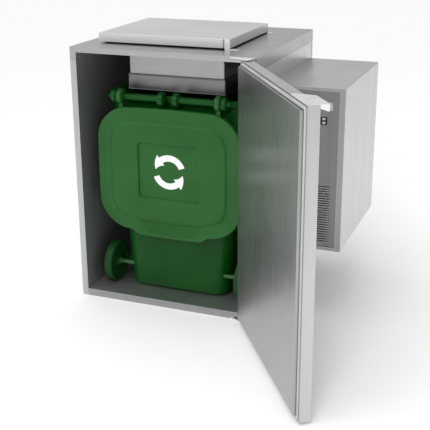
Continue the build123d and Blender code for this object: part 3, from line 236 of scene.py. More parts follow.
# ---- Roof cap ------------------------------------------------------------------------------
# One pressed cap with a 60 mm skirt, dropped over the walls and riveted from inside.
# Its grain runs across, and the seam below the skirt is a plain butt joint.
roof_steel = brushed_steel("roof_steel", 0.45, 0.28, CROSS_GRAIN)
with_bent_edges("roof_cap", "cabinet", roof_steel, 1.2 * MM)


# ---- Chute throat and sleeve ---------------------------------------------------------------
# A square duct of 2 mm stainless hangs from the roof by a flat collar; a second one, with a
# rolled hem at both ends, slides up round it so that the bin can roll out.
def woven(rows, closed=False):
    """Quads between neighbouring rows of a (rows, columns, 3) grid whose columns close up."""
    count, around = rows.shape[:2]
    index = np.arange(count * around).reshape(count, around)
    if closed:
        index = np.vstack([index, index[:1]])
    near, far = index[:-1], index[1:]
    quads = np.stack([near, np.roll(near, -1, 1), np.roll(far, -1, 1), far], -1)
    return rows.reshape(-1, 3), [quads.reshape(-1, 4)]


def outline(half, corner, middle=(0.0, 0.0), turns=10, runs=6):
    """A rounded rectangle: straight runs between four quarter circles, anticlockwise."""
    angle = np.linspace(0, pi / 2, turns, endpoint=False)
    run = np.linspace(0, 1, runs, endpoint=False)
    inner = np.array(half) - corner
    path = []
    for quarter in range(4):
        sx, sy = ((1, 1), (-1, 1), (-1, -1), (1, -1))[quarter]
        nx, ny = ((-1, 1), (-1, -1), (1, -1), (1, 1))[quarter]
        turn = angle + quarter * pi / 2
        arc = np.array([sx, sy]) * inner + corner * np.stack([np.cos(turn), np.sin(turn)], -1)
        end = turn[0] + pi / 2
        here = np.array([sx, sy]) * inner + corner * np.array([np.cos(end), np.sin(end)])
        there = np.array([nx, ny]) * inner + corner * np.array([np.cos(end), np.sin(end)])
        path += [arc, here + run[:, None] * (there - here)]
    return np.vstack(path) + np.array(middle)


def build(name, body, finish, shape, stands_for=(), crease=38.0):
    """Puts a shape into a mesh, closes its seams, turns its faces outwards and rides it."""
    points, faces = shape
    mesh = bpy.data.meshes.new(name)
    mesh.from_pydata(points.tolist(), [], [face for group in faces for face in group.tolist()])
    closed = bmesh.new()
    closed.from_mesh(mesh)
    bmesh.ops.remove_doubles(closed, verts=closed.verts, dist=2e-6)
    bmesh.ops.recalc_face_normals(closed, faces=closed.faces)
    closed.to_mesh(mesh)
    closed.free()
    mesh.materials.append(finish)
    mesh.shade_smooth()
    mesh.set_sharp_from_angle(angle=radians(crease))
    piece = bpy.data.objects.new(name, mesh)
    bpy.context.scene.collection.objects.link(piece)
    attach(piece, body)
    if stands_for:
        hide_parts(*stands_for)
    return piece


bright_steel = brushed_steel("chute_steel", 0.40, 0.34, CROSS_GRAIN)
HEM = 3.0 * MM
DUCT_SHEET = 2.0 * MM
LOWER_ROLL = np.linspace(0.8 * pi, 2.2 * pi, 11)
UPPER_ROLL = np.linspace(-0.2 * pi, 1.2 * pi, 11)


def carried_section(low, high, section):
    """A square duct: its wall's closed section, as (out, height) pairs, carried round the
    rounded rectangle of the duct's outer face."""
    middle, half = (low + high) / 2, (high - low) / 2
    rows = []
    for out, height in section:
        path = outline((half[0] + out, half[1] + out), 6 * MM + max(out, 0), middle[:2])
        rows.append(np.column_stack([path, np.full(len(path), height)]))
    return woven(np.array(rows), closed=True)


def flanged_section(low, high, collar):
    """A plain sheet with a flat collar turned outwards at its top."""
    under = high[2] - 1.5 * MM
    section = [(0.0, low[2]), (0.0, under), (collar, under), (collar, high[2])]
    return section + [(-DUCT_SHEET, high[2]), (-DUCT_SHEET, low[2])]


def hemmed_section(low, high):
    """A sheet with most of a circle rolled on each end, centred on the sheet's thickness."""
    middle, foot, head = -DUCT_SHEET / 2, low[2] + 2 * HEM, high[2] - 2 * HEM
    section = [(middle + HEM * np.cos(t), low[2] + HEM * (1 + np.sin(t))) for t in LOWER_ROLL]
    section += [(0.0, foot), (0.0, head)]
    section += [(middle + HEM * np.cos(t), high[2] - HEM * (1 - np.sin(t))) for t in UPPER_ROLL]
    return section + [(-DUCT_SHEET, head), (-DUCT_SHEET, foot)]


throat_low, throat_high = map(np.array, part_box("chute_throat"))
COLLAR = 7.0 * MM
throat_low[:2] += COLLAR
throat_high[:2] -= COLLAR
throat = carried_section(throat_low, throat_high, flanged_section(throat_low, throat_high, COLLAR))
build("throat_duct", "cabinet", bright_steel, throat, ["chute_throat"])
sleeve_low, sleeve_high = map(np.array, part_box("chute_sleeve"))
# The hem rolls out past the sheet by this much, and still ends at the sleeve's outer size.
HEM_OUT = 2.0 * MM
sleeve_low[:2] += HEM_OUT
sleeve_high[:2] -= HEM_OUT
sleeve_steel = brushed_steel("sleeve_steel", 0.25, 0.36, CROSS_GRAIN)
sleeve = carried_section(sleeve_low, sleeve_high, hemmed_section(sleeve_low, sleeve_high))
build("sleeve_duct", "sleeve", sleeve_steel, sleeve, ["chute_sleeve"])


# ---- Sleeve knobs and glides ---------------------------------------------------------------
# Black nylon: four glide pads keep the sleeve off the throat, and a knurled thumb knob on
# each side clamps it at its height.
def capped(rows):
    """A woven tube closed at both ends by a fan of triangles to each end row's middle."""
    points, faces = woven(rows)
    count, around = rows.shape[:2]
    ring = np.arange(around)
    fans = []
    for row in (0, count - 1):
        middle = len(points) + (row > 0)
        edge = row * around + ring
        fans.append(np.stack([edge, np.roll(edge, -1), np.full(around, middle)], -1))
    ends = np.stack([rows[0].mean(0), rows[-1].mean(0)])
    return np.vstack([points, ends]), faces + fans


def joined(*shapes):
    """Several (points, faces) shapes as one."""
    points, faces, start = [], [], 0
    for shape_points, shape_faces in shapes:
        points.append(shape_points)
        faces += [group + start for group in shape_faces]
        start += len(shape_points)
    return np.vstack(points), faces


def turned(profile, centre, axis, around=48):
    """A lathe shape: (along, radius) pairs carried round an axis through a centre."""
    along, radius = np.array(profile, float).T
    angle = np.linspace(0, 2 * pi, around, endpoint=False)
    first, second = {"x": (1, 2), "y": (2, 0), "z": (0, 1)}[axis]
    rows = np.zeros((len(along), around, 3))
    rows[..., "xyz".index(axis)] = along[:, None]
    rows[..., first] = radius[:, None] * np.cos(angle)
    rows[..., second] = radius[:, None] * np.sin(angle)
    return rows + np.array(centre)


def soft_block(low, high, bend, steps=2):
    """A box with round edges: each point of a box is drawn in to an inner box, then pushed out
    from there by the edge radius, along its own direction."""
    low, high = np.array(low, float), np.array(high, float)
    reach = bend * (1 - np.tan(np.linspace(pi / 4, 0, steps + 1)))
    shapes = []
    for axis in range(3):
        u, v = (axis + 1) % 3, (axis + 2) % 3
        lines = [np.concatenate([low[k] + reach, high[k] - reach[::-1]]) for k in (u, v)]
        for side in (0, 1):
            grid = np.zeros((len(lines[0]), len(lines[1]), 3))
            grid[..., u], grid[..., v] = lines[0][:, None], lines[1][None, :]
            grid[..., axis] = (low, high)[side][axis]
            core = np.clip(grid, low + bend, high - bend)
            away = grid - core
            away *= bend / np.linalg.norm(away, axis=-1, keepdims=True)
            points = (core + away).reshape(-1, 3)
            index = np.arange(len(points)).reshape(grid.shape[:2])
            quads = np.stack([index[:-1, :-1], index[1:, :-1], index[1:, 1:], index[:-1, 1:]], -1)
            shapes.append((points, [quads.reshape(-1, 4)]))
    return joined(*shapes)


def moulded_group():
    """Moulded surface: a fine pebble from small cells, and slow mottling from soft noise."""
    group = bpy.data.node_groups.new("moulded_surface", "ShaderNodeTree")
    face = group.interface
    face.new_socket("Vector", in_out="INPUT", socket_type="NodeSocketVector")
    face.new_socket("Pebble", in_out="INPUT", socket_type="NodeSocketFloat")
    face.new_socket("Depth", in_out="INPUT", socket_type="NodeSocketFloat")
    for name in ("Grain", "Mottle"):
        face.new_socket(name, in_out="OUTPUT", socket_type="NodeSocketFloat")
    face.new_socket("Normal", in_out="OUTPUT", socket_type="NodeSocketVector")
    nodes, links = group.nodes, group.links
    start, end = nodes.new("NodeGroupInput"), nodes.new("NodeGroupOutput")
    pebble = nodes.new("ShaderNodeTexNoise")
    pebble.inputs["Detail"].default_value = 2.0
    mottle = nodes.new("ShaderNodeTexNoise")
    mottle.inputs["Scale"].default_value = 6.0
    mottle.inputs["Detail"].default_value = 5.0
    bump = nodes.new("ShaderNodeBump")
    bump.inputs["Distance"].default_value = 0.0005
    links.new(start.outputs["Vector"], pebble.inputs["Vector"])
    links.new(start.outputs["Vector"], mottle.inputs["Vector"])
    links.new(start.outputs["Pebble"], pebble.inputs["Scale"])
    links.new(start.outputs["Depth"], bump.inputs["Strength"])
    links.new(pebble.outputs["Fac"], bump.inputs["Height"])
    links.new(pebble.outputs["Fac"], end.inputs["Grain"])
    links.new(mottle.outputs["Fac"], end.inputs["Mottle"])
    links.new(bump.outputs["Normal"], end.inputs["Normal"])
    return group


MOULDED = moulded_group()


def moulded(name, deep, pale, rough, pebble=700.0, depth=0.35, metallic=0.0, shine=0.5):
    """Moulded or painted surface: two tones mottled together, satin, with a fine pebble."""
    finish, nodes, links, shader = new_finish(name, metallic)
    shader.inputs["Specular IOR Level"].default_value = shine
    place = nodes.new("ShaderNodeTexCoord")
    surface = nodes.new("ShaderNodeGroup")
    surface.node_tree = MOULDED
    surface.inputs["Pebble"].default_value = pebble
    surface.inputs["Depth"].default_value = depth
    links.new(place.outputs["Object"], surface.inputs["Vector"])
    tone = blended(nodes, links, surface.outputs["Mottle"], deep, pale)
    links.new(tone, shader.inputs["Base Color"])
    gloss = between(nodes, links, surface.outputs["Grain"], rough - 0.05, rough + 0.08)
    links.new(gloss, shader.inputs["Roughness"])
    links.new(surface.outputs["Normal"], shader.inputs["Normal"])
    return finish


nylon = moulded("black_nylon", (0.012, 0.012, 0.013), (0.022, 0.022, 0.024), 0.42)
knob_low, knob_high = map(np.array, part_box("sleeve_knobs"))
KNOB_R, KNOB_LONG, STEM_R, STEM = 13 * MM, 14 * MM, 4 * MM, 6 * MM
RIDGES = 18
# A pad fills the gap from just off the throat to just inside the sleeve's sheet.
PAD_INNER, PAD_OUTER, PAD_LONG, PAD_HIGH = 0.4 * MM, 4.2 * MM, 40 * MM, 20 * MM
knob_y, knob_z = -20 * MM, knob_low[2] + KNOB_R
knob_shapes = []
for side, tip in ((-1, knob_low[0]), (1, knob_high[0])):
    # The knurl: the radius dips as a cosine round the knob, on the middle of its length.
    steps = [(STEM + KNOB_LONG, STEM_R), (KNOB_LONG, STEM_R), (KNOB_LONG, KNOB_R * 0.72)]
    steps += [(KNOB_LONG - 1 * MM, KNOB_R * 0.96), (KNOB_LONG - 3 * MM, KNOB_R)]
    steps += [(3 * MM, KNOB_R), (1 * MM, KNOB_R * 0.93), (0, KNOB_R * 0.7), (1.2 * MM, 3 * MM)]
    rows = turned(steps, (0, 0, 0), "x", RIDGES * 6)
    wave = 1 - 0.05 * (1 + np.cos(RIDGES * np.linspace(0, 2 * pi, RIDGES * 6, endpoint=False))) / 2
    rows[4:6, :, 1:] *= wave[None, :, None]
    rows[..., 0] *= -side
    knob_shapes.append(capped(rows + np.array([tip, knob_y, knob_z])))
    edge = (throat_low[0], throat_high[0])[side > 0]
    for pad_y in (-180 * MM, 100 * MM):
        pad = sorted((edge + side * PAD_INNER, edge + side * PAD_OUTER))
        low = (pad[0], pad_y, sleeve_high[2] - PAD_HIGH)
        high = (pad[1], pad_y + PAD_LONG, sleeve_high[2])
        knob_shapes.append(soft_block(low, high, 1 * MM))
build("sleeve_knobs_knurled", "sleeve", nylon, joined(*knob_shapes), ["sleeve_knobs"])


# ---- Feed lid ------------------------------------------------------------------------------
# A shallow folded stainless pan filled with foam, with a flat under-sheet and a black rubber
# seal; it turns on two pins in nylon bushes at its right edge.
lid_steel = brushed_steel("feed_lid_steel", 0.76, 0.32, CROSS_GRAIN)
with_bent_edges("feed_lid_cover", "feed_lid", lid_steel, 0.8 * MM)
with_bent_edges("feed_lid_underside", "feed_lid", liner_steel, 0.4 * MM)
black_rubber = moulded("black_rubber", (0.010, 0.010, 0.010), (0.020, 0.020, 0.020), 0.60)
seal_low, seal_high = map(np.array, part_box("feed_lid_seal"))
SEAL_WIDE = 16 * MM
seal_half, seal_middle = (seal_high - seal_low) / 2, (seal_high + seal_low) / 2
SEAL_BULGE = np.linspace(0, pi, 9)
# The seal's section is a flat foot under the lid and a half-round hollow bulb below it.
bulb = [(-SEAL_WIDE, seal_high[2]), (0.0, seal_high[2]), (0.0, seal_high[2] - 1.6 * MM)]
bulb_high = seal_high[2] - 1.6 * MM
bulb += [
    (-SEAL_WIDE / 2 + SEAL_WIDE / 2 * np.cos(t), bulb_high - (bulb_high - seal_low[2]) * np.sin(t))
    for t in SEAL_BULGE
]
rows = []
for out, height in bulb:
    path = outline(seal_half[:2] + out, 24 * MM + out, seal_middle[:2])
    rows.append(np.column_stack([path, np.full(len(path), height)]))
rubber_loop = woven(np.array(rows), closed=True)
build("feed_lid_seal_loop", "feed_lid", black_rubber, rubber_loop, ["feed_lid_seal"])
bracket_steel = brushed_steel("bracket_steel", 0.95, 0.42, depth=0.1)
with_bent_edges("feed_lid_brackets", "cabinet", bracket_steel, 0.6 * MM, 50)
coat(nylon, "feed_lid_bushes", "door_hinge_bushes")


# ---- Door ----------------------------------------------------------------------------------
# A folded outer pan, foam and an inner panel pressed with a raised plug that enters the
# doorway; it swings on two pins between plates let into the roof and the floor.
door_steel = brushed_steel("door_pan_steel", 0.58, 0.36)
door_inner_steel = brushed_steel("door_inner_steel", 0.39, 0.29, depth=0.05, anisotropic=0.5, band=0.96)
with_bent_edges("door_outer_pan", "door", door_steel, 1.5 * MM)
with_bent_edges("door_inner_panel", "door", door_inner_steel, 1.2 * MM)
with_bent_edges("door_handle", "door", bracket_steel, 0.8 * MM)
for name in ("top_hinge_plate", "bottom_hinge_plate"):
    with_bent_edges(name, "cabinet", bracket_steel, 0.5 * MM)
plated = brushed_steel("plated_pin_steel", 0.72, 0.16, depth=0.05, anisotropic=0.0)
coat(plated, "door_hinge_pins")

# The door's seal: a soft grey bellows profile pushed over the pan's inner edge.
DOOR_OPEN = radians(124)
PIVOT = Vector([j for j in frame["joints"] if j["name"] == "door_hinge"][0]["pos_m"])
DOOR_X = (-9 * MM, 827 * MM)
DOOR_Z = (19 * MM, 1185 * MM)
DOOR_SEAL_FACE, DOOR_SEAL_TIP, DOOR_SEAL_WIDE = -24 * MM, -29 * MM, 10.5 * MM
along = np.array([-np.cos(DOOR_OPEN), -np.sin(DOOR_OPEN)])
outward = np.array([np.sin(DOOR_OPEN), -np.cos(DOOR_OPEN)])


def on_door(x, y, z):
    """Points of the door's own plane, from its pivot, turned to where the door stands."""
    flat = np.array(PIVOT.xy) + x[..., None] * along + y[..., None] * outward
    return np.concatenate([flat, z[..., None]], -1)


seal_grey = moulded("grey_seal_rubber", (0.42, 0.43, 0.43), (0.52, 0.53, 0.53), 0.55, 900.0, 0.2)
BELLOWS = (
    # how far in from the seal's outer edge, and how far it stands off the panel, as a share
    (0.00, 0.0), (0.00, 0.45), (0.06, 0.60), (0.05, 0.85), (0.16, 1.00), (0.40, 0.97),
    (0.46, 0.72), (0.54, 0.72), (0.60, 0.97), (0.84, 1.00), (0.95, 0.85), (0.94, 0.60),
    (1.00, 0.45), (1.00, 0.0),
)
door_half = np.array([DOOR_X[1] - DOOR_X[0], DOOR_Z[1] - DOOR_Z[0]]) / 2
door_middle = np.array([DOOR_X[1] + DOOR_X[0], DOOR_Z[1] + DOOR_Z[0]]) / 2
rows = []
for share, off in BELLOWS:
    path = outline(door_half - share * DOOR_SEAL_WIDE, 13 * MM - share * DOOR_SEAL_WIDE, door_middle)
    stand = DOOR_SEAL_FACE + (DOOR_SEAL_TIP - DOOR_SEAL_FACE) * off
    rows.append(on_door(path[:, 0], np.full(len(path), stand), path[:, 1]))
bellows_loop = woven(np.array(rows), closed=True)
build("door_seal_bellows", "door", seal_grey, bellows_loop, ["door_seal"], crease=60)


# ---- Cooling unit casing -------------------------------------------------------------------
# A stainless case screwed to the right wall, with a front panel set back inside its rim.
# The panel is pierced by 24 slots, each with a lip pressed out along its lower edge.
case_steel = brushed_steel("unit_case_steel", 0.62, 0.34)
panel_steel = brushed_steel("unit_panel_steel", 0.38, 0.34)
with_bent_edges("unit_casing", "cabinet", case_steel, 1.0 * MM)
with_bent_edges("unit_front_panel", "cabinet", panel_steel, 0.3 * MM)
panel_low = np.array(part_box("unit_front_panel")[0])
case_low = np.array(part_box("unit_casing")[0])
SLOTS, SLOT_HALF = 24, 2.25 * MM
SLOT_X = (case_low[0] + 120 * MM, case_low[0] + 285 * MM)
SLOT_Z = np.linspace(374, 627, SLOTS) * MM
LIP_OUT = 2.6 * MM
# A lip: half an ellipse across, that fades to nothing at both ends as 1 - |u|^6.
u = np.linspace(-1, 1, 25)
across = np.linspace(0, pi, 7)
fade = 1 - np.abs(u) ** 6
lip = np.zeros((len(across), len(u), 3))
lip[..., 0] = (SLOT_X[0] + SLOT_X[1]) / 2 + u * (SLOT_X[1] - SLOT_X[0]) / 2
lip[..., 1] = panel_low[1] - LIP_OUT * np.sin(across)[:, None] * fade + 0.3 * MM
lip[..., 2] = -SLOT_HALF - 1.7 * MM * (1 - np.cos(across))[:, None]
index = np.arange(lip[..., 0].size).reshape(lip.shape[:2])
quads = np.stack([index[:-1, :-1], index[:-1, 1:], index[1:, 1:], index[1:, :-1]], -1).reshape(-1, 4)
lips = [(lip.reshape(-1, 3) + np.array([0, 0, z]), [quads]) for z in SLOT_Z]
lip_steel = brushed_steel("slot_lip_steel", 0.62, 0.26, CROSS_GRAIN)
lips_piece = build("slot_lips", "cabinet", lip_steel, joined(*lips))
lips_piece.modifiers.new("lip_sheet", "SOLIDIFY").thickness = 0.6 * MM
lips_piece.modifiers["lip_sheet"].offset = -1.0


# ---- Controller ----------------------------------------------------------------------------
# A black moulded thermostat let into the panel: a red display window and two push keys.
# The digits are lit segments behind the window's face.
bezel_black = moulded("controller_black", (0.008, 0.008, 0.009), (0.016, 0.016, 0.017), 0.28)
with_bent_edges("controller_housing", "cabinet", bezel_black, 0.5 * MM)
display_red, nodes, links, shader = new_finish("display_window_red", 0.0)
shader.inputs["Roughness"].default_value = 0.08
shader.inputs["Coat Weight"].default_value = 0.6
place = nodes.new("ShaderNodeTexCoord")
dots = nodes.new("ShaderNodeTexNoise")
dots.inputs["Scale"].default_value = 300.0
links.new(place.outputs["Object"], dots.inputs["Vector"])
window_tone = blended(nodes, links, dots.outputs["Fac"], (0.10, 0.002, 0.002), (0.20, 0.004, 0.004))
links.new(window_tone, shader.inputs["Base Color"])
coat(display_red, "controller_display")
lit_red, nodes, links, shader = new_finish("lit_segment_red", 0.0)
place = nodes.new("ShaderNodeTexCoord")
glow = nodes.new("ShaderNodeTexNoise")
glow.inputs["Scale"].default_value = 500.0
links.new(place.outputs["Object"], glow.inputs["Vector"])
lit_tone = blended(nodes, links, glow.outputs["Fac"], (0.9, 0.05, 0.03), (1.0, 0.10, 0.06))
links.new(lit_tone, shader.inputs["Base Color"])
links.new(lit_tone, shader.inputs["Emission Color"])
shader.inputs["Emission Strength"].default_value = 1.6
window_low, window_high = map(np.array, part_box("controller_display"))
DIGIT, STROKE = (8.0 * MM, 14.0 * MM), 1.5 * MM
SEGMENTS = {
    # each segment's ends, as shares of the digit's width and height
    "a": ((0, 1), (1, 1)), "b": ((1, 0.5), (1, 1)), "c": ((1, 0), (1, 0.5)), "d": ((0, 0), (1, 0)),
    "e": ((0, 0), (0, 0.5)), "f": ((0, 0.5), (0, 1)), "g": ((0, 0.5), (1, 0.5)),
}
SHOWN = ("fgbc", "abcdef")  # a temperature of 4.0 degrees
bars = []
for place_number, lit in enumerate(SHOWN):
    left = window_low[0] + (8.0 + 15.0 * place_number) * MM
    foot = (window_low[2] + window_high[2] - DIGIT[1]) / 2
    for name in lit:
        (x0, z0), (x1, z1) = SEGMENTS[name]
        start = np.array([left + x0 * DIGIT[0], foot + z0 * DIGIT[1]])
        end = np.array([left + x1 * DIGIT[0], foot + z1 * DIGIT[1]])
        trim = (end - start) / np.linalg.norm(end - start) * 0.9 * MM
        low, high = np.minimum(start + trim, end - trim), np.maximum(start + trim, end - trim)
        low, high = low - STROKE / 2 * (trim == 0), high + STROKE / 2 * (trim == 0)
        face = window_low[1]
        ends = ((low[0], face - 0.3 * MM, low[1]), (high[0], face + 0.1 * MM, high[1]))
        bars.append(soft_block(*ends, 0.15 * MM, 1))
# The decimal point stands between the two digits, on their foot line.
point_x, point_z, point_y = left - 3.5 * MM, foot, window_low[1]
point_low = (point_x - 0.9 * MM, point_y - 0.3 * MM, point_z - 0.9 * MM)
point_high = (point_x + 0.9 * MM, point_y + 0.1 * MM, point_z + 0.9 * MM)
bars.append(soft_block(point_low, point_high, 0.15 * MM, 1))
build("display_digits", "cabinet", lit_red, joined(*bars))
key_pale = moulded("key_pale", (0.62, 0.62, 0.60), (0.72, 0.72, 0.70), 0.45)
ink_grey = moulded("key_mark_grey", (0.05, 0.05, 0.05), (0.08, 0.08, 0.08), 0.60)
for name, way in (("button_up", 1), ("button_down", -1)):
    coat(key_pale, name)
    key_low, key_high = map(np.array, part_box(name))
    middle = (key_low + key_high) / 2
    # The key's mark is a small raised triangle, pointing up or down.
    corners = np.array([[-2.4, -1.6], [2.4, -1.6], [0.0, 1.9]]) * MM
    rows = []
    for y in (key_low[1] - 0.15 * MM, key_low[1] + 0.4 * MM):
        x, z = middle[0] + corners[:, 0], middle[2] + way * corners[:, 1]
        points = np.column_stack([x, np.full(3, y), z])
        rows.append(points)
    build(f"{name}_mark", name, ink_grey, capped(np.array(rows)))
plate_steel = brushed_steel("name_plate_steel", 0.90, 0.22, CROSS_GRAIN, 0.1)
with_bent_edges("blank_name_plate", "cabinet", plate_steel, 0.3 * MM)
screw_steel = brushed_steel("screw_steel", 0.42, 0.30, depth=0.05, anisotropic=0.0)
coat(screw_steel, "pan_head_screws")


# ---- Refrigeration -------------------------------------------------------------------------
# Compressor, finned coils, fans and copper pipe, bolted in on the unit's floor and in the
# evaporator's box at the upper right of the cabinet. Plain trade parts with plain finishes, save the
# condenser's near-black fins and shroud, which are partly painted shade behind the slots.
black_enamel = moulded("black_enamel", (0.010, 0.010, 0.011), (0.018, 0.018, 0.019), 0.30, 300.0)
coat(black_enamel, "compressor", "condenser_fan_motor", "evaporator_fan_motor")
coat(nylon, "condenser_fan_blade", "evaporator_fan_blade", "power_inlet")
coat(black_rubber, "wall_grommet")
fin_aluminium = brushed_steel("fin_aluminium", 0.74, 0.38, UP_GRAIN, 0.2)
# The condenser's fins are near black: partly a real black coating, partly painted shade, so that the
# panel's slots read dark.
fins_dark_and_slot_shade = brushed_steel("black_fins_and_painted_slot_shade", 0.05, 0.45, UP_GRAIN, 0.2)
coat(fin_aluminium, "evaporator_coil")
coat(fins_dark_and_slot_shade, "condenser_coil")
# The fan shroud is near black as well: partly blackened zinc, partly painted shade behind the slots.
shroud_dark_and_slot_shade = brushed_steel("dark_zinc_and_painted_slot_shade", 0.06, 0.42, CROSS_GRAIN, 0.15)
with_bent_edges("condenser_fan_shroud", "cabinet", shroud_dark_and_slot_shade, 0.5 * MM)
with_bent_edges("evaporator_housing", "cabinet", liner_steel, 0.4 * MM)
copper = moulded("copper_tube", (0.62, 0.26, 0.14), (0.80, 0.38, 0.22), 0.28, 120.0, 0.1, 1.0)
coat(copper, "refrigerant_pipes")


# ---- Bin tub -------------------------------------------------------------------------------
# One injection moulding in green polyethylene: a tub that widens upwards, with a rolled rim,
# a stepped foot and two pairs of ears that carry the handle rods.
bin_green = moulded(
    "bin_green", (0.001, 0.048, 0.003), (0.003, 0.064, 0.006), 0.30, 900.0, 0.20, shine=0.20
)
tub_low = np.array(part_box("bin_body")[0])
FOOT_HALF, NECK_HALF = 245 * MM, 330 * MM
FOOT_Y, NECK_Y = (-300 * MM, 180 * MM), (-292 * MM, 300 * MM)
FOOT_CORNER, NECK_CORNER = 60 * MM, 75 * MM
WALL, RIM_OUT = 4 * MM, 15 * MM
FOOT_Z, RIM_Z = tub_low[2], 978 * MM
TUB = (
    # height, then how far the wall stands out of the plain taper
    (FOOT_Z, -22 * MM), (FOOT_Z + 0.0008, -12 * MM), (FOOT_Z + 0.004, -5 * MM),
    (FOOT_Z + 0.011, -1.2 * MM), (FOOT_Z + 0.022, 0.0), (0.150, 0.0), (0.300, 0.0), (0.450, 0.0),
    (0.600, 0.0), (0.752, 0.0), (0.758, 2 * MM), (0.766, 3 * MM), (0.880, 3 * MM),
    (0.936, 3 * MM), (0.9425, 5 * MM), (0.9460, 11 * MM), (0.9500, 14.2 * MM), (0.9560, RIM_OUT),
    (0.9700, RIM_OUT), (0.9752, 13.6 * MM), (0.9778, 10.5 * MM), (RIM_Z, 6 * MM),
    (0.9772, 0.0), (0.9745, -3.2 * MM), (0.9680, -WALL), (0.7500, -WALL), (0.4500, -WALL),
    (0.1500, -WALL), (FOOT_Z + 0.024, -WALL), (FOOT_Z + 0.012, -7 * MM),
    (FOOT_Z + 0.006, -14 * MM), (FOOT_Z + WALL, -26 * MM),
)
rows = []
for height, out in TUB:
    share = (height - FOOT_Z) / (RIM_Z - FOOT_Z)
    half = FOOT_HALF + share * (NECK_HALF - FOOT_HALF) + out
    front = FOOT_Y[0] + share * (NECK_Y[0] - FOOT_Y[0]) - out
    back = FOOT_Y[1] + share * (NECK_Y[1] - FOOT_Y[1]) + out
    corner = FOOT_CORNER + share * (NECK_CORNER - FOOT_CORNER) + out
    path = outline((half, (back - front) / 2), corner, (0, (back + front) / 2), 12, 8)
    rows.append(np.column_stack([path, np.full(len(path), height)]))
tub_shapes = [capped(np.array(rows))]
# Ears: round bosses with a raised ring, on a gusset that runs back to the rim.
BAR_Y, BAR_Z, BAR_R, EAR_R = -345 * MM, 975 * MM, 15 * MM, 30 * MM
EARS = ((-51, -21), (21, 51), (-277, -252), (252, 277))
for low, high in EARS:
    low, high = low * MM, high * MM
    ring = [(low, BAR_R), (low, EAR_R - 9 * MM), (low + 2 * MM, EAR_R - 8 * MM)]
    ring += [(low + 2 * MM, EAR_R - 3 * MM), (low + 3.5 * MM, EAR_R), (high - 3.5 * MM, EAR_R)]
    ring += [(high - 2 * MM, EAR_R - 3 * MM), (high - 2 * MM, EAR_R - 8 * MM)]
    ring += [(high, EAR_R - 9 * MM), (high, BAR_R)]
    tub_shapes.append(woven(turned(ring, (0, BAR_Y, BAR_Z), "x"), closed=True))
    # The gusset's depth below the rod falls off towards its ends as a smooth step.
    run = np.linspace(0, 1, 9)
    under = BAR_Z - (26 + 22 * run * run * (3 - 2 * run)) * MM
    reach = BAR_Y + 18 * MM + run * (NECK_Y[0] - 2 * MM - BAR_Y - 18 * MM)
    top = np.full(9, BAR_Z + 1 * MM)
    section = np.stack([np.stack([reach, under], -1), np.stack([reach, top], -1)])
    inner, outer = low + 5 * MM, high - 5 * MM
    rows = np.stack([
        np.column_stack([np.full(9, inner), section[0]]), np.column_stack([np.full(9, outer), section[0]]),
        np.column_stack([np.full(9, outer), section[1]]), np.column_stack([np.full(9, inner), section[1]]),
    ], 1)
    tub_shapes.append(capped(rows))
# Stiffening ribs hang below the rim at the back, as small blocks.
RIBS = 7
for x in np.linspace(-0.20, 0.20, RIBS):
    share = (0.92 - FOOT_Z) / (RIM_Z - FOOT_Z)
    back = FOOT_Y[1] + share * (NECK_Y[1] - FOOT_Y[1])
    tub_shapes.append(soft_block((x - 2 * MM, back, 0.895), (x + 2 * MM, back + 13 * MM, 0.955), 1 * MM))
build("bin_tub", "bin", bin_green, joined(*tub_shapes), ["bin_body"])

# The two handle rods: turned bars with a rounded end knob outside the outer ears.
# A rod's profile, in mm: how far out from the middle, and the radius.
ROD = ((22, 13), (24, 15), (281, 15), (283, 14), (284, 12), (291, 12), (294, 10), (295, 6))
rod_shapes = []
for side in (-1, 1):
    rod = [(side * x * MM, r * MM) for x, r in ROD]
    rod_shapes.append(capped(turned(rod, (0, BAR_Y, BAR_Z), "x", 32)))
build("bin_handle_bars", "bin", bin_green, joined(*rod_shapes), ["bin_handle_rods"])


# ---- Axle and wheels -----------------------------------------------------------------------
# A steel axle in a green sleeve runs through the foot and carries two solid rubber wheels on
# push caps. Each wheel is a disc with a shallow dished face and a plain rounded tread.
axle_green = moulded("axle_green", (0.016, 0.080, 0.018), (0.026, 0.105, 0.030), 0.40, 500.0, 0.2)
coat(axle_green, "bin_axle")
wheel_green = moulded(
    "wheel_green", (0.003, 0.040, 0.005), (0.007, 0.056, 0.009), 0.50, 500.0, 0.3, shine=0.25
)
WHEEL_R, WHEEL_WIDE, BORE = 100 * MM, 40 * MM, 10.1 * MM
AROUND = 96
HALF_WHEEL = (
    # how deep in from the wheel's face, and the radius
    (0.0, BORE), (0.0, 20 * MM), (0.8 * MM, 22 * MM), (4 * MM, 24 * MM), (5 * MM, 28 * MM),
    (5 * MM, 50 * MM), (5 * MM, 74 * MM), (3.6 * MM, 78 * MM), (1.0 * MM, 80 * MM), (0.2 * MM, 84 * MM),
    (0.0, 90 * MM), (0.8 * MM, 94.5 * MM), (3.0 * MM, 98 * MM), (6.5 * MM, 99.6 * MM), (10 * MM, WHEEL_R),
    (18.4 * MM, WHEEL_R), (18.8 * MM, WHEEL_R - 0.8 * MM),
)
for name, side in (("bin_wheel_left", -1), ("bin_wheel_right", 1)):
    low, high = map(np.array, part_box(name))
    centre = (low + high) / 2
    near = [(deep - WHEEL_WIDE / 2, radius) for deep, radius in HALF_WHEEL]
    profile = near + [(-along_x, radius) for along_x, radius in near[::-1]]
    rows = turned(profile, (0, 0, 0), "x", AROUND)
    shape = woven(rows + centre, closed=True)
    build(f"{name}_rubber", name, wheel_green, shape, [name], crease=50)


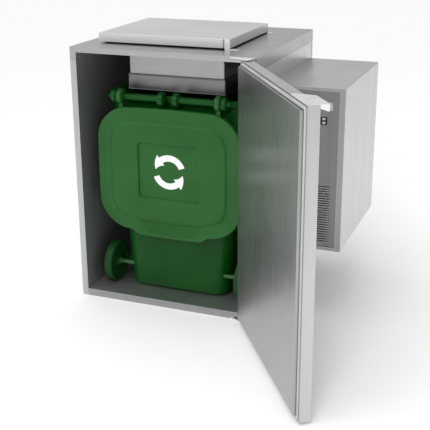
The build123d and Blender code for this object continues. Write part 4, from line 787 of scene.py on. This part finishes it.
# ---- Bin lid -------------------------------------------------------------------------------
# A crowned green moulding that hangs open by two arms from the rods. Its face has a raised
# panel, a square recess for a mark, and steps above the grip along its free edge.
lid_low, lid_high = map(np.array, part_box("bin_lid"))
LID_HALF = np.array([lid_high[0], (935 - 345) / 2 * MM])
LID_MIDDLE = np.array([0.0, (935 + 345) / 2 * MM])
LID_FACE = lid_low[1]
CORNER, BOW = 142 * MM, np.array([7.0, 13.0]) * MM
GRIP_DROP, GRIP_HALF, GRIP_FADE = 345 * MM - lid_low[2], 150 * MM, 45 * MM
RECESS_HALF = np.array([150, 130]) * MM
RECESS_MIDDLE = np.array([6 * MM, 647 * MM])
RECESS_DEEP = 10.0 * MM


def bowed(path):
    """Draws an outline's corners in, so that its sides bow: each side moves in by the square of
    how far a point is along it. Then the grip stands down in the middle of the lower edge."""
    at = (path - LID_MIDDLE) / LID_HALF
    path = path - np.sign(at) * BOW * np.clip(at[:, ::-1], -1, 1) ** 2 * np.abs(at)
    side = np.clip((GRIP_HALF + GRIP_FADE - np.abs(path[:, 0])) / GRIP_FADE, 0, 1)
    side = side * side * (3 - 2 * side)
    low_edge = np.clip(-at[:, 1] * 2.6 - 1.6, 0, 1)
    path[:, 1] -= GRIP_DROP * side * low_edge
    return path


# The face's section, from the rim in to the panel: inset, depth behind the face.
FACE_SECTION = (
    (0.0, 28.0), (0.0, 16.0), (0.6, 12.6), (2.5, 10.4), (5.5, 9.5), (9.0, 9.9), (12.0, 11.4),
    (15.0, 12.2), (40.0, 10.8), (62.0, 9.9), (67.0, 9.2), (71.5, 4.6), (75.0, 2.7), (83.0, 1.8),
    (112.0, 0.9),
)
TURNS, RUNS = 14, 26


def lid_row(inset, depth):
    """One line round the lid at an inset from its rim and a depth behind its face."""
    path = bowed(outline(LID_HALF - inset, max(CORNER - inset * 0.8, 20 * MM), LID_MIDDLE, TURNS, RUNS))
    return np.column_stack([path[:, 0], np.full(len(path), LID_FACE + depth), path[:, 1]])


def recess_row(inset, depth):
    """One line round the square recess."""
    path = outline(RECESS_HALF - inset, max(17 * MM - inset, 3 * MM), RECESS_MIDDLE, TURNS, RUNS)
    return np.column_stack([path[:, 0], np.full(len(path), LID_FACE + depth), path[:, 1]])


SKIN = 3.2 * MM
outer = [lid_row(inset * MM, depth * MM) for inset, depth in FACE_SECTION]
last = outer[-1]
recess = [recess_row(-3.0 * MM, 0.3 * MM), recess_row(-0.6 * MM, 1.5 * MM)]
recess += [recess_row(1.4 * MM, RECESS_DEEP - 1.0 * MM), recess_row(4.0 * MM, RECESS_DEEP + 0.4 * MM)]
recess += [recess_row(9.0 * MM, RECESS_DEEP + 0.4 * MM), recess_row(12.0 * MM, RECESS_DEEP)]
recess += [recess_row(60 * MM, RECESS_DEEP)]
# The flat between the panel's edge and the recess is blended in even shares.
flat = [last + (recess[0] - last) * share for share in (0.2, 0.4, 0.6, 0.8)]
outer = outer + flat + recess
inner = [row + np.array([0, SKIN, 0]) for row in outer[7:]]
inner_rim = [lid_row(SKIN, depth * MM) for depth in (28.0, 20.0, 16.0)]
shell = outer[::-1] + inner_rim + inner
lid_shapes = [capped(np.array(shell))]
# Steps above the grip: low rounded bars across the lower band, each shorter than the last.
for half, drop in ((165, 0), (158, 17), (148, 33), (134, 47)):
    z = 397 * MM - drop * MM
    depth = LID_FACE + (9.3 + 0.04 * drop) * MM
    u = np.linspace(-1, 1, 33)
    bend = 6 * MM * (1 - u**2)
    swell = np.clip(8 * (1 - np.abs(u)), 0, 1) * 2.4 * MM
    angle = np.linspace(0, 2 * pi, 10, endpoint=False)
    rows = np.zeros((33, 10, 3))
    rows[..., 0] = (u * half * MM)[:, None]
    rows[..., 1] = depth - swell[:, None] * np.sin(angle)
    rows[..., 2] = z - bend[:, None] + 1.5 * swell[:, None] * np.cos(angle)
    lid_shapes.append(capped(rows))
# Arms: a strap from each hub down behind the lid's upper edge, and a turned hub on the rod.
HUB_X, HUB_R = (222 * MM, 250 * MM), 34 * MM
for side in (-1, 1):
    low, high = sorted((side * HUB_X[0], side * HUB_X[1]))
    hub = [(low, BAR_R + 0.4 * MM), (low, HUB_R - 10 * MM), (low + 2 * MM, HUB_R - 9 * MM)]
    hub += [(low + 2 * MM, HUB_R - 3 * MM), (low + 4 * MM, HUB_R), (high - 4 * MM, HUB_R)]
    hub += [(high - 2 * MM, HUB_R - 3 * MM), (high - 2 * MM, HUB_R - 9 * MM)]
    hub += [(high, HUB_R - 10 * MM), (high, BAR_R + 0.4 * MM)]
    lid_shapes.append(woven(turned(hub, (0, BAR_Y, BAR_Z), "x"), closed=True))
    # The strap's line: it leaves the hub's underside and bends forward as a smooth step.
    run = np.linspace(0, 1, 15)
    drop = BAR_Z - 24 * MM - run * 118 * MM
    front = -352 * MM - 19 * MM * run * run * (3 - 2 * run)
    thick = 11 * MM
    corners = ((low + 4 * MM, 0), (high - 4 * MM, 0), (high - 4 * MM, thick), (low + 4 * MM, thick))
    rows = np.stack([np.column_stack([np.full(15, x), front + y, drop]) for x, y in corners], 1)
    lid_shapes.append(capped(rows))
lid_green = moulded(
    "bin_lid_green", (0.012, 0.086, 0.014), (0.018, 0.104, 0.020), 0.40, 900.0, 0.22, shine=0.24
)
build("bin_lid_moulding", "bin_lid", lid_green, joined(*lid_shapes), ["bin_lid"])

# The mark: a generic ring of two curved arrows, printed white on the recess's floor.
MARK_R, MARK_BAND, MARK_HEAD = 66 * MM, 14.5 * MM, 29 * MM
INK = 0.25 * MM
white_ink = moulded("white_print", (0.80, 0.80, 0.80), (0.88, 0.88, 0.88), 0.55)
arrows = []
for start in (radians(20), radians(200)):
    # Along the arc the half-width holds, widens at the head's foot, then falls to a point.
    share = np.concatenate([np.linspace(0, 0.70, 22), [0.7001], np.linspace(0.72, 1, 8)])
    half = np.where(share <= 0.70, MARK_BAND, MARK_HEAD * (1 - share) / 0.30)
    half = np.maximum(half, 0.3 * MM)
    angle = start + share * radians(152)
    rows = []
    for side, lift in ((-1, 0), (1, 0), (1, 1), (-1, 1)):
        radius = MARK_R + side * half
        depth = np.full(len(share), LID_FACE + RECESS_DEEP - lift * INK + 0.05 * MM)
        x = RECESS_MIDDLE[0] + radius * np.cos(angle)
        rows.append(np.column_stack([x, depth, RECESS_MIDDLE[1] + radius * np.sin(angle)]))
    arrows.append(capped(np.stack(rows, 1)))
build("lid_mark", "bin_lid", white_ink, joined(*arrows), crease=20)


# ---- Floor, light and camera ---------------------------------------------------------------
# A plain pale floor, a soft grey sky for the steel to reflect, one broad soft sun and two
# soft panels of light.
floor_mesh = bpy.data.meshes.new("floor")
REACH = 40.0
FLOOR_CORNERS = [(-REACH, -REACH, 0), (REACH, -REACH, 0), (REACH, REACH, 0), (-REACH, REACH, 0)]
floor_mesh.from_pydata(FLOOR_CORNERS, [], [(0, 1, 2, 3)])
floor_piece = bpy.data.objects.new("floor", floor_mesh)
bpy.context.scene.collection.objects.link(floor_piece)
floor_paint = moulded("pale_floor", (0.95, 0.95, 0.95), (0.97, 0.97, 0.97), 0.80, 40.0, 0.02)
floor_mesh.materials.append(floor_paint)

scene = bpy.context.scene
scene.view_settings.view_transform = "Standard"
world = bpy.data.worlds.new("studio")
scene.world = world
world.use_nodes = True
sky, links = world.node_tree.nodes, world.node_tree.links
place = sky.new("ShaderNodeTexCoord")
height = sky.new("ShaderNodeSeparateXYZ")
ramp = sky.new("ShaderNodeValToRGB")
SKY = ((0.0, 0.62), (0.5, 0.60), (0.62, 0.58), (0.80, 0.62), (1.0, 0.80))
while len(ramp.color_ramp.elements) < len(SKY):
    ramp.color_ramp.elements.new(0.5)
for element, (position, value) in zip(ramp.color_ramp.elements, SKY):
    element.position = position
    element.color = (value, value, value, 1.0)
to_ramp = sky.new("ShaderNodeMapRange")
to_ramp.inputs["From Min"].default_value = -1.0
links.new(place.outputs["Generated"], height.inputs[0])
links.new(height.outputs["Z"], to_ramp.inputs["Value"])
links.new(to_ramp.outputs["Result"], ramp.inputs["Fac"])
# The sky is lighter on the left, as from a wall of windows there.
windows = sky.new("ShaderNodeMapRange")
windows.inputs["From Min"].default_value = -0.75
windows.inputs["From Max"].default_value = 0.15
windows.inputs["To Min"].default_value = 1.45
windows.inputs["To Max"].default_value = 0.88
links.new(height.outputs["X"], windows.inputs["Value"])
lit = sky.new("ShaderNodeVectorMath")
lit.operation = "SCALE"
links.new(ramp.outputs["Color"], lit.inputs[0])
links.new(windows.outputs["Result"], lit.inputs["Scale"])
links.new(lit.outputs[0], sky["Background"].inputs["Color"])
sky["Background"].inputs["Strength"].default_value = 1.0


def lamp(name, kind, place, aim, energy, mirrored=True, **settings):
    """A light at a place, turned to look at a point; steel may be kept from mirroring it."""
    data = bpy.data.lights.new(name, kind)
    data.energy = energy
    for setting, value in settings.items():
        setattr(data, setting, value)
    light = bpy.data.objects.new(name, data)
    light.location = place
    light.rotation_euler = (Vector(aim) - Vector(place)).to_track_quat("-Z", "Y").to_euler()
    light.visible_glossy = mirrored
    scene.collection.objects.link(light)


lamp("broad_sun", "SUN", (-1.6, -2.6, 5.0), (0.0, 0.0, 0.4), 1.1, angle=radians(70))
lamp("front_panel", "AREA", (1.0, -5.0, 3.2), (0.0, -0.3, 0.5), 80, False, size=1.4)
lamp("side_panel", "AREA", (4.4, 0.6, 2.6), (0.6, 0.0, 0.8), 25, False, size=2.4)

CAMERA_PLACE = (1.603, -3.919, 1.848)
CAMERA_TURN, CAMERA_DIP, CAMERA_ROLL = radians(21.21), radians(18.54), radians(-0.34)
lens = bpy.data.cameras.new("camera")
lens.lens = 75.4
lens.shift_y = -0.05
camera = bpy.data.objects.new("camera", lens)
scene.collection.objects.link(camera)
turn = Matrix.Rotation(CAMERA_TURN, 4, "Z") @ Matrix.Rotation(pi / 2 - CAMERA_DIP, 4, "X")
camera.matrix_world = Matrix.Translation(CAMERA_PLACE) @ turn @ Matrix.Rotation(CAMERA_ROLL, 4, "Z")
scene.camera = camera
